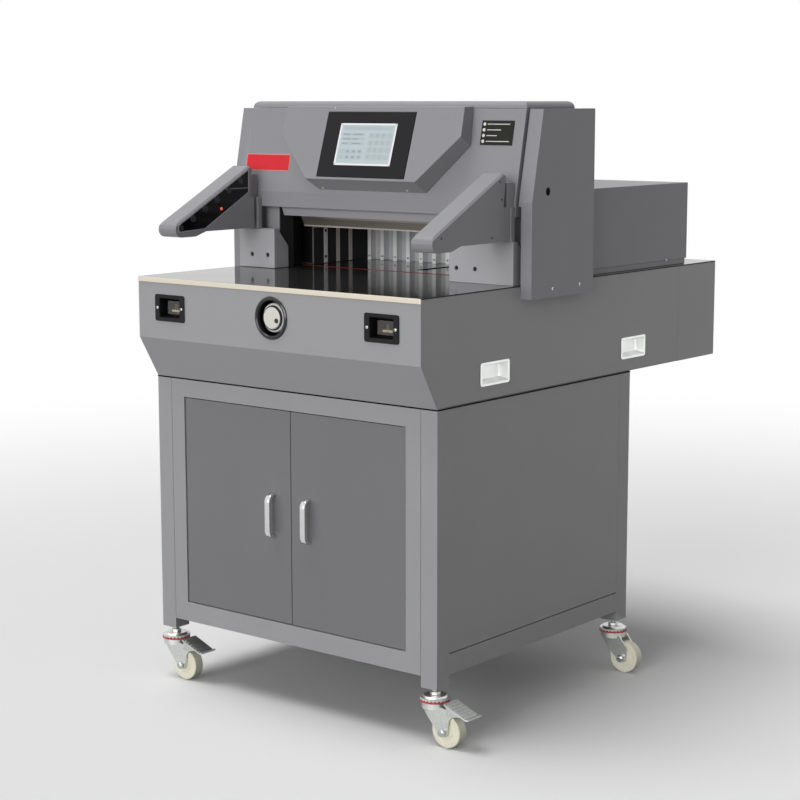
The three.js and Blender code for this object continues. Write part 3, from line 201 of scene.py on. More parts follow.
def drawn_metal(name, colour, tone, gloss, run, metal=1.0):
    """Drawn, ground or brushed metal: fine lines along its run, drawn nearly a millimetre wide so that
    they show, which spread the reflections across them."""
    line, length = 0.8, 60.0
    material, tree, place = begun(name)
    stretch = [1.0 if axis == run else length / line for axis in "XYZ"]
    along = add(tree, "Mapping", {"Vector": place, "Scale": stretch})
    lines = add(tree, "TexNoise", {"Vector": along.outputs[0], "Scale": per(length), "Detail": 4.0})
    tones = add(tree, "Mix", {0: lines.outputs[0], 6: srgb(colour), 7: srgb(tone)}, data_type="RGBA")
    satin = add(tree, "MapRange", {"Value": lines.outputs[0], "To Min": gloss * 0.7, "To Max": gloss * 1.4})
    bump = add(tree, "Bump", {"Height": lines.outputs[0], "Strength": 0.35, "Distance": 0.01 * MM})
    return finish(
        material, Metallic=metal,
        Base_Color=tones.outputs[2], Roughness=satin.outputs[0], Normal=bump.outputs[0],
    )


def plated_metal(name, colour, tone, gloss, spangle):
    """Electroplated steel: bright, with patches of a slightly different tone and gloss where the bath
    varied."""
    material, tree, place = begun(name)
    bath = add(tree, "TexVoronoi", {"Vector": place, "Scale": per(spangle), "Randomness": 1.0}, feature="F1")
    clouds = add(tree, "TexNoise", {"Vector": place, "Scale": per(spangle * 2), "Detail": 4.0})
    both = add(tree, "Math", {0: bath.outputs[0], 1: clouds.outputs[0]}, operation="MULTIPLY")
    tones = add(tree, "Mix", {0: both.outputs[0], 6: srgb(colour), 7: srgb(tone)}, data_type="RGBA")
    dull = add(tree, "MapRange", {"Value": clouds.outputs[0], "To Min": gloss * 0.6, "To Max": gloss * 1.5})
    return finish(material, Metallic=1.0, Base_Color=tones.outputs[2], Roughness=dull.outputs[0])


def polished_table():
    """Cast iron ground and polished along X: a near mirror, with faint grinding lines, a few oily clouds
    and the tiny dark pores of the casting."""
    material, tree, place = begun("polished_cast_iron")
    along = add(tree, "Mapping", {"Vector": place, "Scale": (1.0, 70.0, 70.0)})
    lines = add(tree, "TexNoise", {"Vector": along.outputs[0], "Scale": per(90), "Detail": 5.0})
    oil = add(tree, "TexNoise", {"Vector": place, "Scale": per(110), "Detail": 4.0})
    pores = add(tree, "TexVoronoi", {"Vector": place, "Scale": per(9)}, feature="F1")
    dots = add(tree, "MapRange", {"Value": pores.outputs[0], "From Min": 0.03, "From Max": 0.06})
    tones = add(tree, "Mix", {0: oil.outputs[0], 6: srgb("#B4B4B4"), 7: srgb("#9C9A97")}, data_type="RGBA")
    pored = add(tree, "Mix", {0: dots.outputs[0], 6: srgb("#6E6A66"), 7: tones.outputs[2]}, data_type="RGBA")
    blend = add(tree, "Math", {0: lines.outputs[0], 1: oil.outputs[0]}, operation="MULTIPLY")
    gloss = add(tree, "MapRange", {"Value": blend.outputs[0], "To Min": 0.04, "To Max": 0.22})
    return finish(
        material, Metallic=0.92, Specular_Tint=srgb("#DADADA"),
        Base_Color=pored.outputs[2], Roughness=gloss.outputs[0],
    )


def cast_nylon():
    """Cast nylon: ivory, a little translucent, with a soft gloss that varies in clouds."""
    material, tree, place = begun("cast_nylon")
    clouds = add(tree, "TexNoise", {"Vector": place, "Scale": per(14), "Detail": 4.0})
    tones = add(tree, "Mix", {0: clouds.outputs[0], 6: srgb("#FBF9E6"), 7: srgb("#F2EFD8")}, data_type="RGBA")
    dull = add(tree, "MapRange", {"Value": clouds.outputs[0], "To Min": 0.35, "To Max": 0.55})
    return finish(
        material, IOR=1.53, Subsurface_Weight=0.2, Subsurface_Scale=0.004,
        Base_Color=tones.outputs[2], Roughness=dull.outputs[0],
    )


def smoked_polycarbonate():
    """Smoked polycarbonate: clear enough to see the lamp behind it, with a moulded gloss."""
    material, tree, place = begun("smoked_polycarbonate")
    smoke = add(tree, "TexNoise", {"Vector": place, "Scale": per(12), "Detail": 3.0})
    tones = add(tree, "Mix", {0: smoke.outputs[0], 6: srgb("#8F8A82"), 7: srgb("#7C7770")}, data_type="RGBA")
    gloss = add(tree, "MapRange", {"Value": smoke.outputs[0], "To Min": 0.03, "To Max": 0.08})
    return finish(
        material, IOR=1.58, Transmission_Weight=0.97,
        Base_Color=tones.outputs[2], Roughness=gloss.outputs[0],
    )


def display_glass():
    """The liquid crystal display behind its touch glass: pale blue-green, lit evenly from behind, with
    clouds of uneven light and the fine grid of its cells."""
    material, tree, place = begun("display_glass")
    light = add(tree, "TexNoise", {"Vector": place, "Scale": per(45), "Detail": 2.0})
    tones = add(tree, "Mix", {0: light.outputs[0], 6: srgb("#A9B6B8"), 7: srgb("#B7C2C6")}, data_type="RGBA")
    cells = add(tree, "TexWave", {"Vector": place, "Scale": per(8), "Distortion": 0.0}, bands_direction="X")
    grid = add(tree, "MapRange", {"Value": cells.outputs["Fac"], "To Min": 0.0, "To Max": 0.06})
    lined = add(tree, "Mix", {0: grid.outputs[0], 6: tones.outputs[2], 7: srgb("#7F8D92")}, data_type="RGBA")
    return finish(
        material, IOR=1.5, Roughness=0.12, Emission_Strength=0.2,
        Base_Color=lined.outputs[2], Emission_Color=lined.outputs[2],
    )


def dull_black(name, colour, tone, shine):
    """Moulded nitrile rubber or black phenolic board: dull, with a dusty bloom in patches."""
    material, tree, place = begun(name)
    bloom = add(tree, "TexNoise", {"Vector": place, "Scale": per(9), "Detail": 5.0})
    tones = add(tree, "Mix", {0: bloom.outputs[0], 6: srgb(colour), 7: srgb(tone)}, data_type="RGBA")
    dull = add(tree, "MapRange", {"Value": bloom.outputs[0], "To Min": 0.6, "To Max": 0.85})
    return finish(
        material, IOR=1.52, Specular_IOR_Level=shine,
        Base_Color=tones.outputs[2], Roughness=dull.outputs[0],
    )


HOUSING_COAT = powder_coat("powder_coat_light_grey", "#A6A6A8", "#A0A0A2", 0.48)
CABINET_COAT = powder_coat("powder_coat_cabinet_grey", "#A3A3A5", "#9C9C9E", 0.5)
DOOR_COAT = powder_coat("powder_coat_door_gloss", "#7B7B7D", "#767678", 0.24, depth=0.004)
# The head's grey is darker than the housing's: partly its own paint, partly painted shade for the dimmer
# light on the head's fronts
HEAD_COAT_AND_SHADE = powder_coat("powder_coat_head_grey_and_painted_shade", "#8F8F93", "#89898D", 0.45)
CASTING = cast_enamel("enamelled_cast_iron", "#9E9EA1", "#949497")
PEDESTAL_COAT = powder_coat(
    "powder_coat_pedestal_grey", "#A9A9AD", "#A0A0A4", 0.34, depth=0.006
)
REAR_COAT = powder_coat("powder_coat_rear_grey", "#8C8C8F", "#868689", 0.48)
BLACK_ABS = moulded_plastic("moulded_black_abs", "#1D1D1F", "#19191B", 0.42, shine=0.15)
GLOSS_BLACK_ABS = moulded_plastic(
    "polished_black_abs", "#171719", "#121214", 0.16, depth=0.01
)
WHITE_ABS = moulded_plastic("moulded_white_abs", "#E2E3E5", "#DADBDD", 0.4)
IVORY_ABS = moulded_plastic("moulded_ivory_abs", "#EAE8E2", "#E2DFD6", 0.3)
RED_ABS = moulded_plastic("moulded_red_abs", "#F07468", "#E0645A", 0.4)
RED_STICK = moulded_plastic("extruded_red_polypropylene", "#E23A34", "#CC322E", 0.5)
BLACK_ACRYLIC = gloss_plastic("cast_black_acrylic", "#0B0B0D", "#121215", shine=0.3)
RED_LACQUER = gloss_plastic("gloss_red_lacquer", "#E0303C", "#D62C38", 0.2, shine=0.2)
PALE_RED_LACQUER = gloss_plastic("pale_red_lacquer", "#F3B8A6", "#EBA793", 0.25)
LEGEND_LACQUER = gloss_plastic("satin_black_lacquer", "#22221F", "#2A2A26", 0.3, shine=0.15)
PALE_INK = moulded_plastic("pale_printing_ink", "#E4E2D8", "#D8D6CC", 0.5, depth=0.01)
GREY_INK = moulded_plastic("grey_display_ink", "#B2BDC0", "#ABB7BA", 0.4, depth=0.01)
DARK_INK = moulded_plastic("dark_display_ink", "#97A4A8", "#909DA1", 0.4, depth=0.01)
# The button lamps glow partly with their own light and partly with painted light, for the light that falls on
# them through the clear caps
AMBER_LAMP_AND_PAINTED_LIGHT = gloss_plastic("amber_lamp_lens_and_painted_light", "#B8A88A", "#A89878", 0.2, glow=0.35)
PALE_LAMP_AND_PAINTED_LIGHT = gloss_plastic("pale_lamp_lens_and_painted_light", "#F2EAC8", "#E6DCB4", 0.2, glow=1.6)
LAMP_RED = gloss_plastic("red_lamp_lens", "#FF6A3C", "#F0552C", 0.15, glow=0.35)
LENS = gloss_plastic("dark_sensor_lens", "#3C3A40", "#323036", 0.12)
PALE_BEAD = moulded_plastic("pale_sealing_bead", "#B4B4B6", "#ACACAE", 0.4, depth=0.01)
DARK_SCREW = plated_metal("burnished_screw_steel", "#5A5A5C", "#444446", 0.4, 3.0)
CHROME = plated_metal("bright_chrome_plate", "#DCDCDE", "#CFCFD1", 0.09, 8.0)
LINER_NICKEL = plated_metal("satin_nickel_plate", "#F2F3F2", "#DDE0DD", 0.34, 30.0)
ZINC = plated_metal("bright_zinc_plate", "#DADCD8", "#B4B6B2", 0.34, 5.0)
CAP_ZINC = plated_metal("polished_zinc_plate", "#C9CBCE", "#A2A4A8", 0.2, 6.0)
PEDAL_ZINC = plated_metal("dull_zinc_plate", "#C6C8C6", "#9EA09E", 0.45, 4.0)
GAUGE_METAL = drawn_metal("polished_aluminium", "#D2D3D4", "#C2C3C5", 0.3, "Z", metal=0.5)
RIB_METAL = drawn_metal("satin_aluminium", "#F6F6F6", "#ECECEC", 0.5, "Z", metal=0.1)
STRIP_METAL = drawn_metal("satin_guide_strip", "#DCD4CA", "#CEC6BC", 0.5, "Z", metal=0.1)
EDGE_STEEL = drawn_metal("bright_ground_edge", "#E8E5DE", "#DAD7D0", 0.4, "X", metal=0.3)
BLADE_STEEL = drawn_metal("ground_tool_steel", "#A09A90", "#8C867C", 0.35, "X", metal=0.6)
SHAFT_STEEL = drawn_metal("turned_steel", "#B4B4B2", "#9A9A98", 0.22, "Y")
TRIM = drawn_metal("brushed_trim", "#DCD5C6", "#CCC5B6", 0.38, "X")
SILVER_FRAME = drawn_metal("satin_silver_frame", "#ECECEE", "#DADADC", 0.35, "X")
TABLE_IRON = polished_table()
NYLON = cast_nylon()
SMOKED = smoked_polycarbonate()
DISPLAY = display_glass()
BLACK_RUBBER = dull_black("black_rubber", "#1F1F20", "#2A2A2B", 0.3)
GUIDE_BOARD = dull_black("black_phenolic_board", "#232425", "#2B2C2D", 0.35)

# Shapes


def block(low, high):
    """A rectangular bar between two corners."""
    shape = bmesh.new()
    bmesh.ops.create_cube(shape, size=1)
    low, high = Vector(low), Vector(high)
    bmesh.ops.scale(shape, vec=high - low, verts=shape.verts)
    bmesh.ops.translate(shape, vec=(low + high) / 2, verts=shape.verts)
    return shape


def turns(edge):
    """Whether an edge turns sharply, or turns at all between two wide faces."""
    turn = edge.calc_face_angle() if edge.is_manifold else 0
    width = min((face.calc_area() / face.calc_perimeter() for face in edge.link_faces), default=0)
    return turn > SHARP_TURN or turn > CREASE_TURN and width > WIDE_FACE


def rounded(shape, edges, width, segments, clamped=True):
    """Rounds some edges."""
    bmesh.ops.bevel(
        shape, geom=edges, offset=width, offset_type="OFFSET", affect="EDGES",
        segments=segments, profile=0.5, material=-1, clamp_overlap=clamped,
    )
    return shape


def soften(shape, width, segments=2):
    """Rounds every edge that turns."""
    return rounded(shape, [edge for edge in shape.edges if turns(edge)], width, segments)


def outwards(shape):
    """Turns every face outwards."""
    bmesh.ops.recalc_face_normals(shape, faces=shape.faces)
    return shape


def turned(profile, steps=SPIN_STEPS):
    """A profile of radius and height, turned round Z."""
    shape = bmesh.new()
    points = [shape.verts.new((radius, 0, height)) for radius, height in profile]
    lines = [shape.edges.new(pair) for pair in zip(points, points[1:])]
    bmesh.ops.spin(
        shape, geom=points + lines, cent=(0, 0, 0), axis=(0, 0, 1),
        angle=math.tau, steps=steps, use_merge=True,
    )
    bmesh.ops.remove_doubles(shape, verts=shape.verts, dist=WELD)
    return outwards(shape)


def drawn_out(shape, faces, step):
    """Draws faces out of a shape, and gives their new corners."""
    new = bmesh.ops.extrude_face_region(shape, geom=faces)["geom"]
    corners = [item for item in new if isinstance(item, bmesh.types.BMVert)]
    bmesh.ops.translate(shape, vec=step, verts=corners)
    return corners


def face_between(shape, corners):
    """The face that all these corners belong to, in a list."""
    return [face for face in shape.faces if all(corner in face.verts for corner in corners)]


def flat_face(width, height, corner, segments=5):
    """A flat rectangle with round corners."""
    shape = bmesh.new()
    signs = ((-1, -1), (1, -1), (1, 1), (-1, 1))
    shape.faces.new([shape.verts.new((x * width / 2, y * height / 2, 0)) for x, y in signs])
    if corner:
        bmesh.ops.bevel(
            shape, geom=shape.verts[:], offset=corner, affect="VERTICES",
            segments=segments, profile=0.5, material=-1,
        )
    return shape


def plate(width, height, thickness, corner, rounding=0.0):
    """A plate with round corners and a soft rim, facing +Z."""
    shape = flat_face(width, height, corner)
    drawn_out(shape, shape.faces[:], (0, 0, thickness))
    outwards(shape)
    return soften(shape, rounding) if rounding else shape


def window_frame(width, height, border, thickness, corner, rounding):
    """A flat frame with round corners round an open middle, facing +Z."""
    shape = flat_face(width, height, corner)
    bmesh.ops.inset_region(
        shape, faces=shape.faces[:], thickness=border, use_even_offset=True, use_boundary=True
    )
    middle = max(shape.faces, key=lambda face: len(face.verts))
    bmesh.ops.delete(shape, geom=[middle], context="FACES_ONLY")
    drawn_out(shape, shape.faces[:], (0, 0, thickness))
    return soften(outwards(shape), rounding)


def placed(shape, place):
    """Moves a shape to its place."""
    bmesh.ops.transform(shape, matrix=place, verts=shape.verts)
    return shape


def together(*shapes):
    """Several shapes as one."""
    whole = shapes[0]
    for shape in shapes[1:]:
        part = bpy.data.meshes.new("part")
        shape.to_mesh(part)
        shape.free()
        whole.from_mesh(part)
        bpy.data.meshes.remove(part)
    return whole


def shade_evenly(mesh):
    """Keeps wide faces flat and lets the narrow ones between them bend the light."""
    around = [[] for _ in mesh.vertices]
    for face in mesh.polygons:
        for corner in face.vertices:
            around[corner].append((face.normal.copy(), face.area))
    normals = []
    for face in mesh.polygons:
        for corner in face.vertices:
            near = [
                normal * area ** 2 for normal, area in around[corner]
                if face.area and area and face.normal.angle(normal) < SMOOTH_TURN
            ]
            normals.append(sum(near, Vector()).normalized() if near else face.normal.copy())
    mesh.shade_smooth()
    mesh.normals_split_custom_set(normals)


def keep(name, shape, material, body="base", stands_for=()):
    """Makes a shape into a piece of a finish that rides on a body."""
    mesh = bpy.data.meshes.new(name)
    bmesh.ops.transform(shape, matrix=HOME, verts=shape.verts)
    shape.to_mesh(mesh)
    shape.free()
    shade_evenly(mesh)
    mesh.materials.append(material)
    piece = bpy.data.objects.new(name, mesh)
    bpy.context.scene.collection.objects.link(piece)
    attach(piece, body)
    if stands_for:
        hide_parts(*stands_for)
    return piece


# A dressed piece is a merged copy of its node with rounded edges

body_of_node = {
    node: body for body, nodes in frame["record"]["behaviour"]["bodies"].items() for node in nodes
}


def merged_copy(node):
    """A node's mesh with its triangles joined into whole faces."""
    shape = bmesh.new()
    shape.from_mesh(frame["nodes"][node].data)
    placed(shape, SHOP)
    bmesh.ops.remove_doubles(shape, verts=shape.verts, dist=WELD)
    bmesh.ops.dissolve_limit(shape, angle_limit=FLAT_TURN, verts=shape.verts, edges=shape.edges)
    return shape


def skin(node, wanted):
    """Only the faces of a node that are wanted."""
    shape = merged_copy(node)
    rest = [face for face in shape.faces if not wanted(face)]
    bmesh.ops.delete(shape, geom=rest, context="FACES")
    return shape


def dressed(node, material, rounding, segments=2):
    """A node with rounded edges, as a piece that stands for it."""
    shape = soften(merged_copy(node), rounding, segments)
    return keep(f"{node}_finished", shape, material, body_of_node[node], [node])


# Screws, in the sizes that show

SCREW_SIDES = 16
SCREW_STEPS = ((0.3, 1.0), (0.16, 0.86), (0.08, 0.66))
CROSS_SHARES = (1.0, 0.5, 0.36, 0.5)
CROSS_DEPTH = 0.3


def screw(radius):
    """A pan-head screw with a cross recess."""
    shape = bmesh.new()
    bmesh.ops.create_circle(shape, cap_ends=True, radius=radius, segments=SCREW_SIDES)
    face = shape.faces[:]
    for rise, share in SCREW_STEPS:
        corners = drawn_out(shape, face, (0, 0, rise * radius))
        bmesh.ops.scale(shape, vec=(share, share, 1), verts=corners)
        face = [max(shape.faces, key=lambda one: one.calc_center_median().z)]
    corners = drawn_out(shape, face, (0, 0, 0))
    for corner in corners:
        turn = round(math.atan2(corner.co.y, corner.co.x) / math.tau * SCREW_SIDES)
        corner.co.xy *= CROSS_SHARES[turn % len(CROSS_SHARES)]
    drawn_out(shape, face_between(shape, corners), (0, 0, -radius * CROSS_DEPTH))
    return outwards(shape)


def screws(name, radius, places, body="base", material=ZINC):
    """A group of like screws at their places."""
    keep(name, together(*[placed(screw(radius), place) for place in places]), material, body)


# Cabinet

dressed("cabinet_frame", CABINET_COAT, rounding=0.9)
for node in ("cabinet_back", "cabinet_floor", "cabinet_side_left", "cabinet_side_right"):
    dressed(node, CABINET_COAT, rounding=0.5)

PULL_ROUNDING = 3.2
PULL_THICKNESS = 9.0
PULL_BEND = 15.5
PULL_BEND_STEPS = 10


def door_pull(word):
    """A flat bar with rounded edges, bent into a D."""
    low, high = spans(f"door_pull_{word}")
    shape = flat_face(high.x - low.x, PULL_THICKNESS, PULL_ROUNDING, segments=3)
    leg_level = high.z - PULL_THICKNESS / 2
    placed(shape, on((low.x + high.x) / 2, high.y, leg_level, FRONTWARDS))
    leg = high.y - low.y - PULL_BEND - PULL_THICKNESS / 2
    grip = high.z - low.z - PULL_THICKNESS - 2 * PULL_BEND
    faces = face_between(shape, drawn_out(shape, shape.faces[:], (0, -leg, 0)))
    bends = (
        (leg_level - PULL_BEND, (0, 0, -grip)),
        (leg_level - PULL_BEND - grip, (0, leg, 0)),
    )
    for level, onwards in bends:
        bend = bmesh.ops.spin(
            shape, geom=faces, cent=(0, high.y - leg, level), axis=(1, 0, 0),
            angle=math.radians(90), steps=PULL_BEND_STEPS,
        )
        faces = [item for item in bend["geom_last"] if isinstance(item, bmesh.types.BMFace)]
        faces = face_between(shape, drawn_out(shape, faces, onwards))
    bmesh.ops.remove_doubles(shape, verts=shape.verts, dist=WELD)
    node = f"door_pull_{word}"
    keep(f"{node}_finished", outwards(shape), CHROME, f"cabinet_door_{word}", [node])


for word in SIDES:
    dressed(f"door_{word}", DOOR_COAT, rounding=0.8)
    door_pull(word)

# Casters

RING_BAND = 1.2
RING_TEETH = 24
RING_TROUGH_SHARE = 0.36
RING_TIP_SHARE = 0.8
RACE_HEIGHT = 9.0
RACE_LIP = 3.0
CAP_HEIGHT = 4.0
STEM_RADIUS = 6.0
THREAD_PITCH = 1.75
THREAD_DEPTH = 1.0
NUT_RADIUS = 11.4
NUT_HEIGHT = 7.0
PLUG_HALF = 17.0


def dust_ring(middle, low, high, radius):
    """The white dust ring round a caster's race, and its printed row of red teeth."""
    outer = radius + RING_BAND
    band = turned([(radius, low), (outer, low), (outer, high), (radius, high), (radius, low)])
    teeth = bmesh.new()
    bmesh.ops.create_circle(teeth, cap_ends=False, radius=outer + HAIR, segments=RING_TEETH * 2)
    new = bmesh.ops.extrude_edge_only(teeth, edges=teeth.edges[:])["geom"]
    for top in [item for item in new if isinstance(item, bmesh.types.BMVert)]:
        turn = round(math.atan2(top.co.y, top.co.x) / math.tau * RING_TEETH * 2)
        top.co.z += (high - low) * (RING_TIP_SHARE if turn % 2 else RING_TROUGH_SHARE)
    bmesh.ops.solidify(teeth, geom=teeth.faces[:], thickness=-RING_BAND / 2)
    placed(outwards(teeth), Matrix.Translation((0, 0, low)))
    home = Matrix.Translation((middle.x, middle.y, 0))
    return placed(band, home), placed(teeth, home)


def stem(name):
    """Bearing race with its cap, nut and threaded stem, and the plug in the leg."""
    low, high = spans(name)
    middle = (low + high) / 2
    race = (high.x - low.x) / 2
    cabinet_foot = spans("cabinet_frame")[0].z
    race_top = low.z + RACE_HEIGHT
    level = race_top + CAP_HEIGHT
    profile = [
        (0, low.z), (race, low.z), (race, race_top), (race - RACE_LIP, race_top + HAIR),
        (race - RACE_LIP * 2, level), (STEM_RADIUS, level),
    ]
    while level < cabinet_foot + THREAD_PITCH:
        profile += [(STEM_RADIUS, level), (STEM_RADIUS + THREAD_DEPTH, level + THREAD_PITCH / 2)]
        level += THREAD_PITCH
    profile += [(STEM_RADIUS, level), (STEM_RADIUS, high.z - CAP_HEIGHT), (0, high.z - CAP_HEIGHT)]
    shape = turned(profile)
    nut = bmesh.new()
    bmesh.ops.create_cone(
        nut, cap_ends=True, segments=6, radius1=NUT_RADIUS, radius2=NUT_RADIUS, depth=NUT_HEIGHT
    )
    soften(nut, THREAD_DEPTH)
    placed(nut, Matrix.Translation((0, 0, race_top + CAP_HEIGHT + NUT_HEIGHT / 2)))
    plug = block((-PLUG_HALF, -PLUG_HALF, cabinet_foot + HAIR), (PLUG_HALF, PLUG_HALF, high.z))
    whole = placed(together(shape, nut, plug), Matrix.Translation((middle.x, middle.y, 0)))
    keep(f"{name}_finished", whole, ZINC, "base", [name])
    return middle, low.z, race_top, race


AXLE_BORE = 5.4
HUB_RADIUS = 12.0
HUB_PROUD = 1.2
FACE_RECESS = 1.6
FACE_RING = (17.0, 18.2, 24.8, 26.0)
TREAD_STEPS = ((2.6, 0.0), (1.3, 0.3), (0.3, 1.3), (0.0, 3.2))


def wheel(name, body):
    """A nylon wheel with a rounded tread, flat faces with a shallow ring and a proud hub."""
    low, high = spans(name)
    middle = (low + high) / 2
    radius = (high.z - low.z) / 2
    hub_half = (high.y - low.y) / 2
    half = hub_half - HUB_PROUD
    inner, floor_inner, floor_outer, outer = FACE_RING
    side = [
        (AXLE_BORE, hub_half), (HUB_RADIUS - 1, hub_half), (HUB_RADIUS, half), (inner, half),
        (floor_inner, half - FACE_RECESS), (floor_outer, half - FACE_RECESS), (outer, half),
    ]
    side += [(radius - inwards, half - down) for inwards, down in TREAD_STEPS]
    profile = side + [(reach, -level) for reach, level in reversed(side)] + [side[0]]
    keep(f"{name}_finished", placed(turned(profile), on(*middle, FRONTWARDS)), NYLON, body, [name])


AXLE_CAP = ((0, 1.8), (3.5, 1.7), (6.2, 1.2), (7.8, 0.2), (8.4, -1.4), (8.4, -4.6), (0, -4.6))


def axle_caps(node, wheel_node, body):
    """The round bolt head and nut on the axle's ends."""
    low, high = spans(node)
    middle = sum(spans(wheel_node), Vector()) / 2
    caps = []
    for reach in (low.y, high.y):
        facing = FRONTWARDS if reach == low.y else REARWARDS
        caps.append(placed(turned(AXLE_CAP, steps=32), on(middle.x, reach, middle.z, facing)))
    keep(f"{node}_axle_caps", together(*caps), CAP_ZINC, body)


PEDAL_RIBS = 6
PEDAL_START = 39.0
PEDAL_LIP = 95.0
PEDAL_LEVEL = 97.0
PEDAL_DROP = 22.0
RIB_FIRST = 9.0
RIB_PITCH = 8.5
RIB_SIZE = (1.7, 19.0, 1.2)
SHOE_REACH = (51.5, 56.5)
SHOE_HALF = 9.5
SHOE_HEIGHT = 7.5


def pedal(word):
    """The brake pedal, with its anti-slip ribs."""
    node = f"caster_pedal_front_{word}"
    dressed(node, PEDAL_ZINC, rounding=1.0)
    stem_low, stem_high = spans(f"caster_stem_front_{word}")
    x, y = (stem_low.x + stem_high.x) / 2, (stem_low.y + stem_high.y) / 2
    slope = PEDAL_DROP / (PEDAL_LIP - PEDAL_START)
    tilt = Matrix.Rotation(math.atan(slope), 4, "Y")
    half_across, half_along, rise = RIB_SIZE
    ribs = []
    for rib in range(PEDAL_RIBS):
        reach = RIB_FIRST + rib * RIB_PITCH
        bar = soften(block((-half_across, -half_along, -HAIR), (half_across, half_along, rise)), rise / 2)
        ribs.append(placed(bar, on(x + PEDAL_START + reach, y, PEDAL_LEVEL - slope * reach, tilt)))
    keep(f"pedal_ribs_{word}", together(*ribs), PEDAL_ZINC, body_of_node[node])
    foot = spans(node)[0].z
    low, high = SHOE_REACH
    boot = block((x + low, y - SHOE_HALF, foot + HAIR * 2), (x + high, y + SHOE_HALF, foot + SHOE_HEIGHT))
    keep(f"pedal_shoe_{word}", soften(boot, HAIR), BLACK_RUBBER, body_of_node[node])


for end in ("front", "rear"):
    for word in SIDES:
        middle, race_low, race_top, race = stem(f"caster_stem_{end}_{word}")
        band, teeth = dust_ring(middle, race_low + HAIR, race_top - HAIR, race + HAIR)
        keep(f"dust_ring_{end}_{word}", band, WHITE_ABS)
        keep(f"dust_ring_teeth_{end}_{word}", teeth, RED_ABS)
        fork = f"caster_fork_{end}_{word}"
        dressed(fork, ZINC, rounding=0.8)
        axle_caps(fork, f"caster_wheel_{end}_{word}", body_of_node[fork])
        wheel(f"caster_wheel_{end}_{word}", f"wheel_{end}_{word}")
        if end == "front":
            pedal(word)

# Housing under the table

for node in ("housing_front", "housing_left", "housing_right", "housing_rear"):
    dressed(node, HOUSING_COAT, rounding=0.8)
dressed("front_trim", TRIM, rounding=1.2)
dressed("table_plate", TABLE_IRON, rounding=0.6)
dressed("cutting_stick", RED_STICK, rounding=0.5)
dressed("drive_unit", CASTING, rounding=2.0)
dressed("gauge_screw", SHAFT_STEEL, rounding=0.8)

# The black strip that covers the joint between the table and the housing
STRIP_WIDTH = 2.0
STRIP_START = 2.5
STRIP_FOOT = TABLE_TOP - 2.3
STRIP_ROUNDING = 0.4
housing_end = spans("housing_rear")[1].y
for word, side in SIDES.items():
    near, far = sorted((side * HALF_WIDTH_SHEET, side * (HALF_WIDTH_SHEET - STRIP_WIDTH)))
    strip = block((near, STRIP_START, STRIP_FOOT), (far, housing_end, TABLE_TOP))
    keep(f"edge_strip_{word}", soften(strip, STRIP_ROUNDING), BLACK_RUBBER)
reach = HALF_WIDTH_SHEET - STRIP_WIDTH - HAIR
strip = block((-reach, housing_end - STRIP_WIDTH, STRIP_FOOT), (reach, housing_end, TABLE_TOP))
keep("edge_strip_rear", soften(strip, STRIP_ROUNDING), BLACK_RUBBER)

# The black gasket that the housing rests on
GASKET_HEIGHT = 2.6
GASKET_WIDTH = 6.0
GASKET_PROUD = 0.5
cabinet_low, cabinet_high = spans("cabinet_frame")
width, length = [size + 2 * GASKET_PROUD for size in (cabinet_high - cabinet_low).xy]
middle = (cabinet_low + cabinet_high) / 2
gasket = window_frame(width, length, GASKET_WIDTH, GASKET_HEIGHT, 0, HAIR)
placed(gasket, Matrix.Translation((middle.x, middle.y, CABINET_TOP - GASKET_HEIGHT)))
keep("housing_gasket", gasket, BLACK_RUBBER)

# Bright liners of the finger pockets
POCKET_FRONTS = {"front": 199.5, "rear": 735.0}
POCKET_SIZE = (93.5, 41.5)
POCKET_DEPTH = 23.0
POCKET_LEVEL = CABINET_TOP + 34.0 + POCKET_SIZE[1] / 2
POCKET_TAPER = (0.9, 0.74, 1)
POCKET_CORNER = 5.0
POCKET_BEND = 7.0
LINER_WALL = 1.0
LINER_LAP = 4.0
LINER_RIM = dict(border=5.2, thickness=1.6, corner=6.0, rounding=0.6)


def pocket_liner(name, place):
    """A moulded scoop with a rim that lies on the panel."""
    width, height = POCKET_SIZE
    scoop = flat_face(width - 2 * HAIR, height - 2 * HAIR, POCKET_CORNER)
    corners = drawn_out(scoop, scoop.faces[:], (0, 0, -POCKET_DEPTH))
    bmesh.ops.scale(scoop, vec=POCKET_TAPER, verts=corners)
    mouth = max(scoop.faces, key=lambda face: face.calc_center_median().z)
    outwards(scoop)
    bmesh.ops.delete(scoop, geom=[mouth], context="FACES_ONLY")
    deep = -POCKET_DEPTH / 2
    bottom = [edge for edge in scoop.edges if all(corner.co.z < deep for corner in edge.verts)]
    rounded(scoop, bottom, POCKET_BEND, segments=4)
    bmesh.ops.solidify(scoop, geom=scoop.faces[:], thickness=LINER_WALL)
    rim = window_frame(width + 2 * LINER_LAP, height + 2 * LINER_LAP, **LINER_RIM)
    keep(name, placed(together(scoop, rim), place), LINER_NICKEL)


for word, side in SIDES.items():
    for end, start in POCKET_FRONTS.items():
        facing = RIGHTWARDS if side > 0 else LEFTWARDS
        place = on(side * (HALF_WIDTH + HAIR), start + POCKET_SIZE[0] / 2, POCKET_LEVEL, facing)
        pocket_liner(f"pocket_liner_{end}_{word}", place)

# Power inlet at the rear, with its pins
PIN_PLACES = ((-7.0, -2.5), (7.0, -2.5), (0.0, 3.0))
PIN_REACH = (-14.6, -2.5)
PIN_HALF = Vector((1.1, 0, 2.2))
PIN_ROUNDING = 0.4
dressed("power_inlet", BLACK_ABS, rounding=0.8)
low, high = spans("power_inlet")
middle = (low + high) / 2
pins = []
for x, z in PIN_PLACES:
    root, tip = [Vector((middle.x + x, high.y + reach, middle.z + z)) for reach in PIN_REACH]
    pins.append(soften(block(root - PIN_HALF, tip + PIN_HALF), PIN_ROUNDING))
keep("inlet_pins", together(*pins), CHROME)

# Two-hand cutting buttons

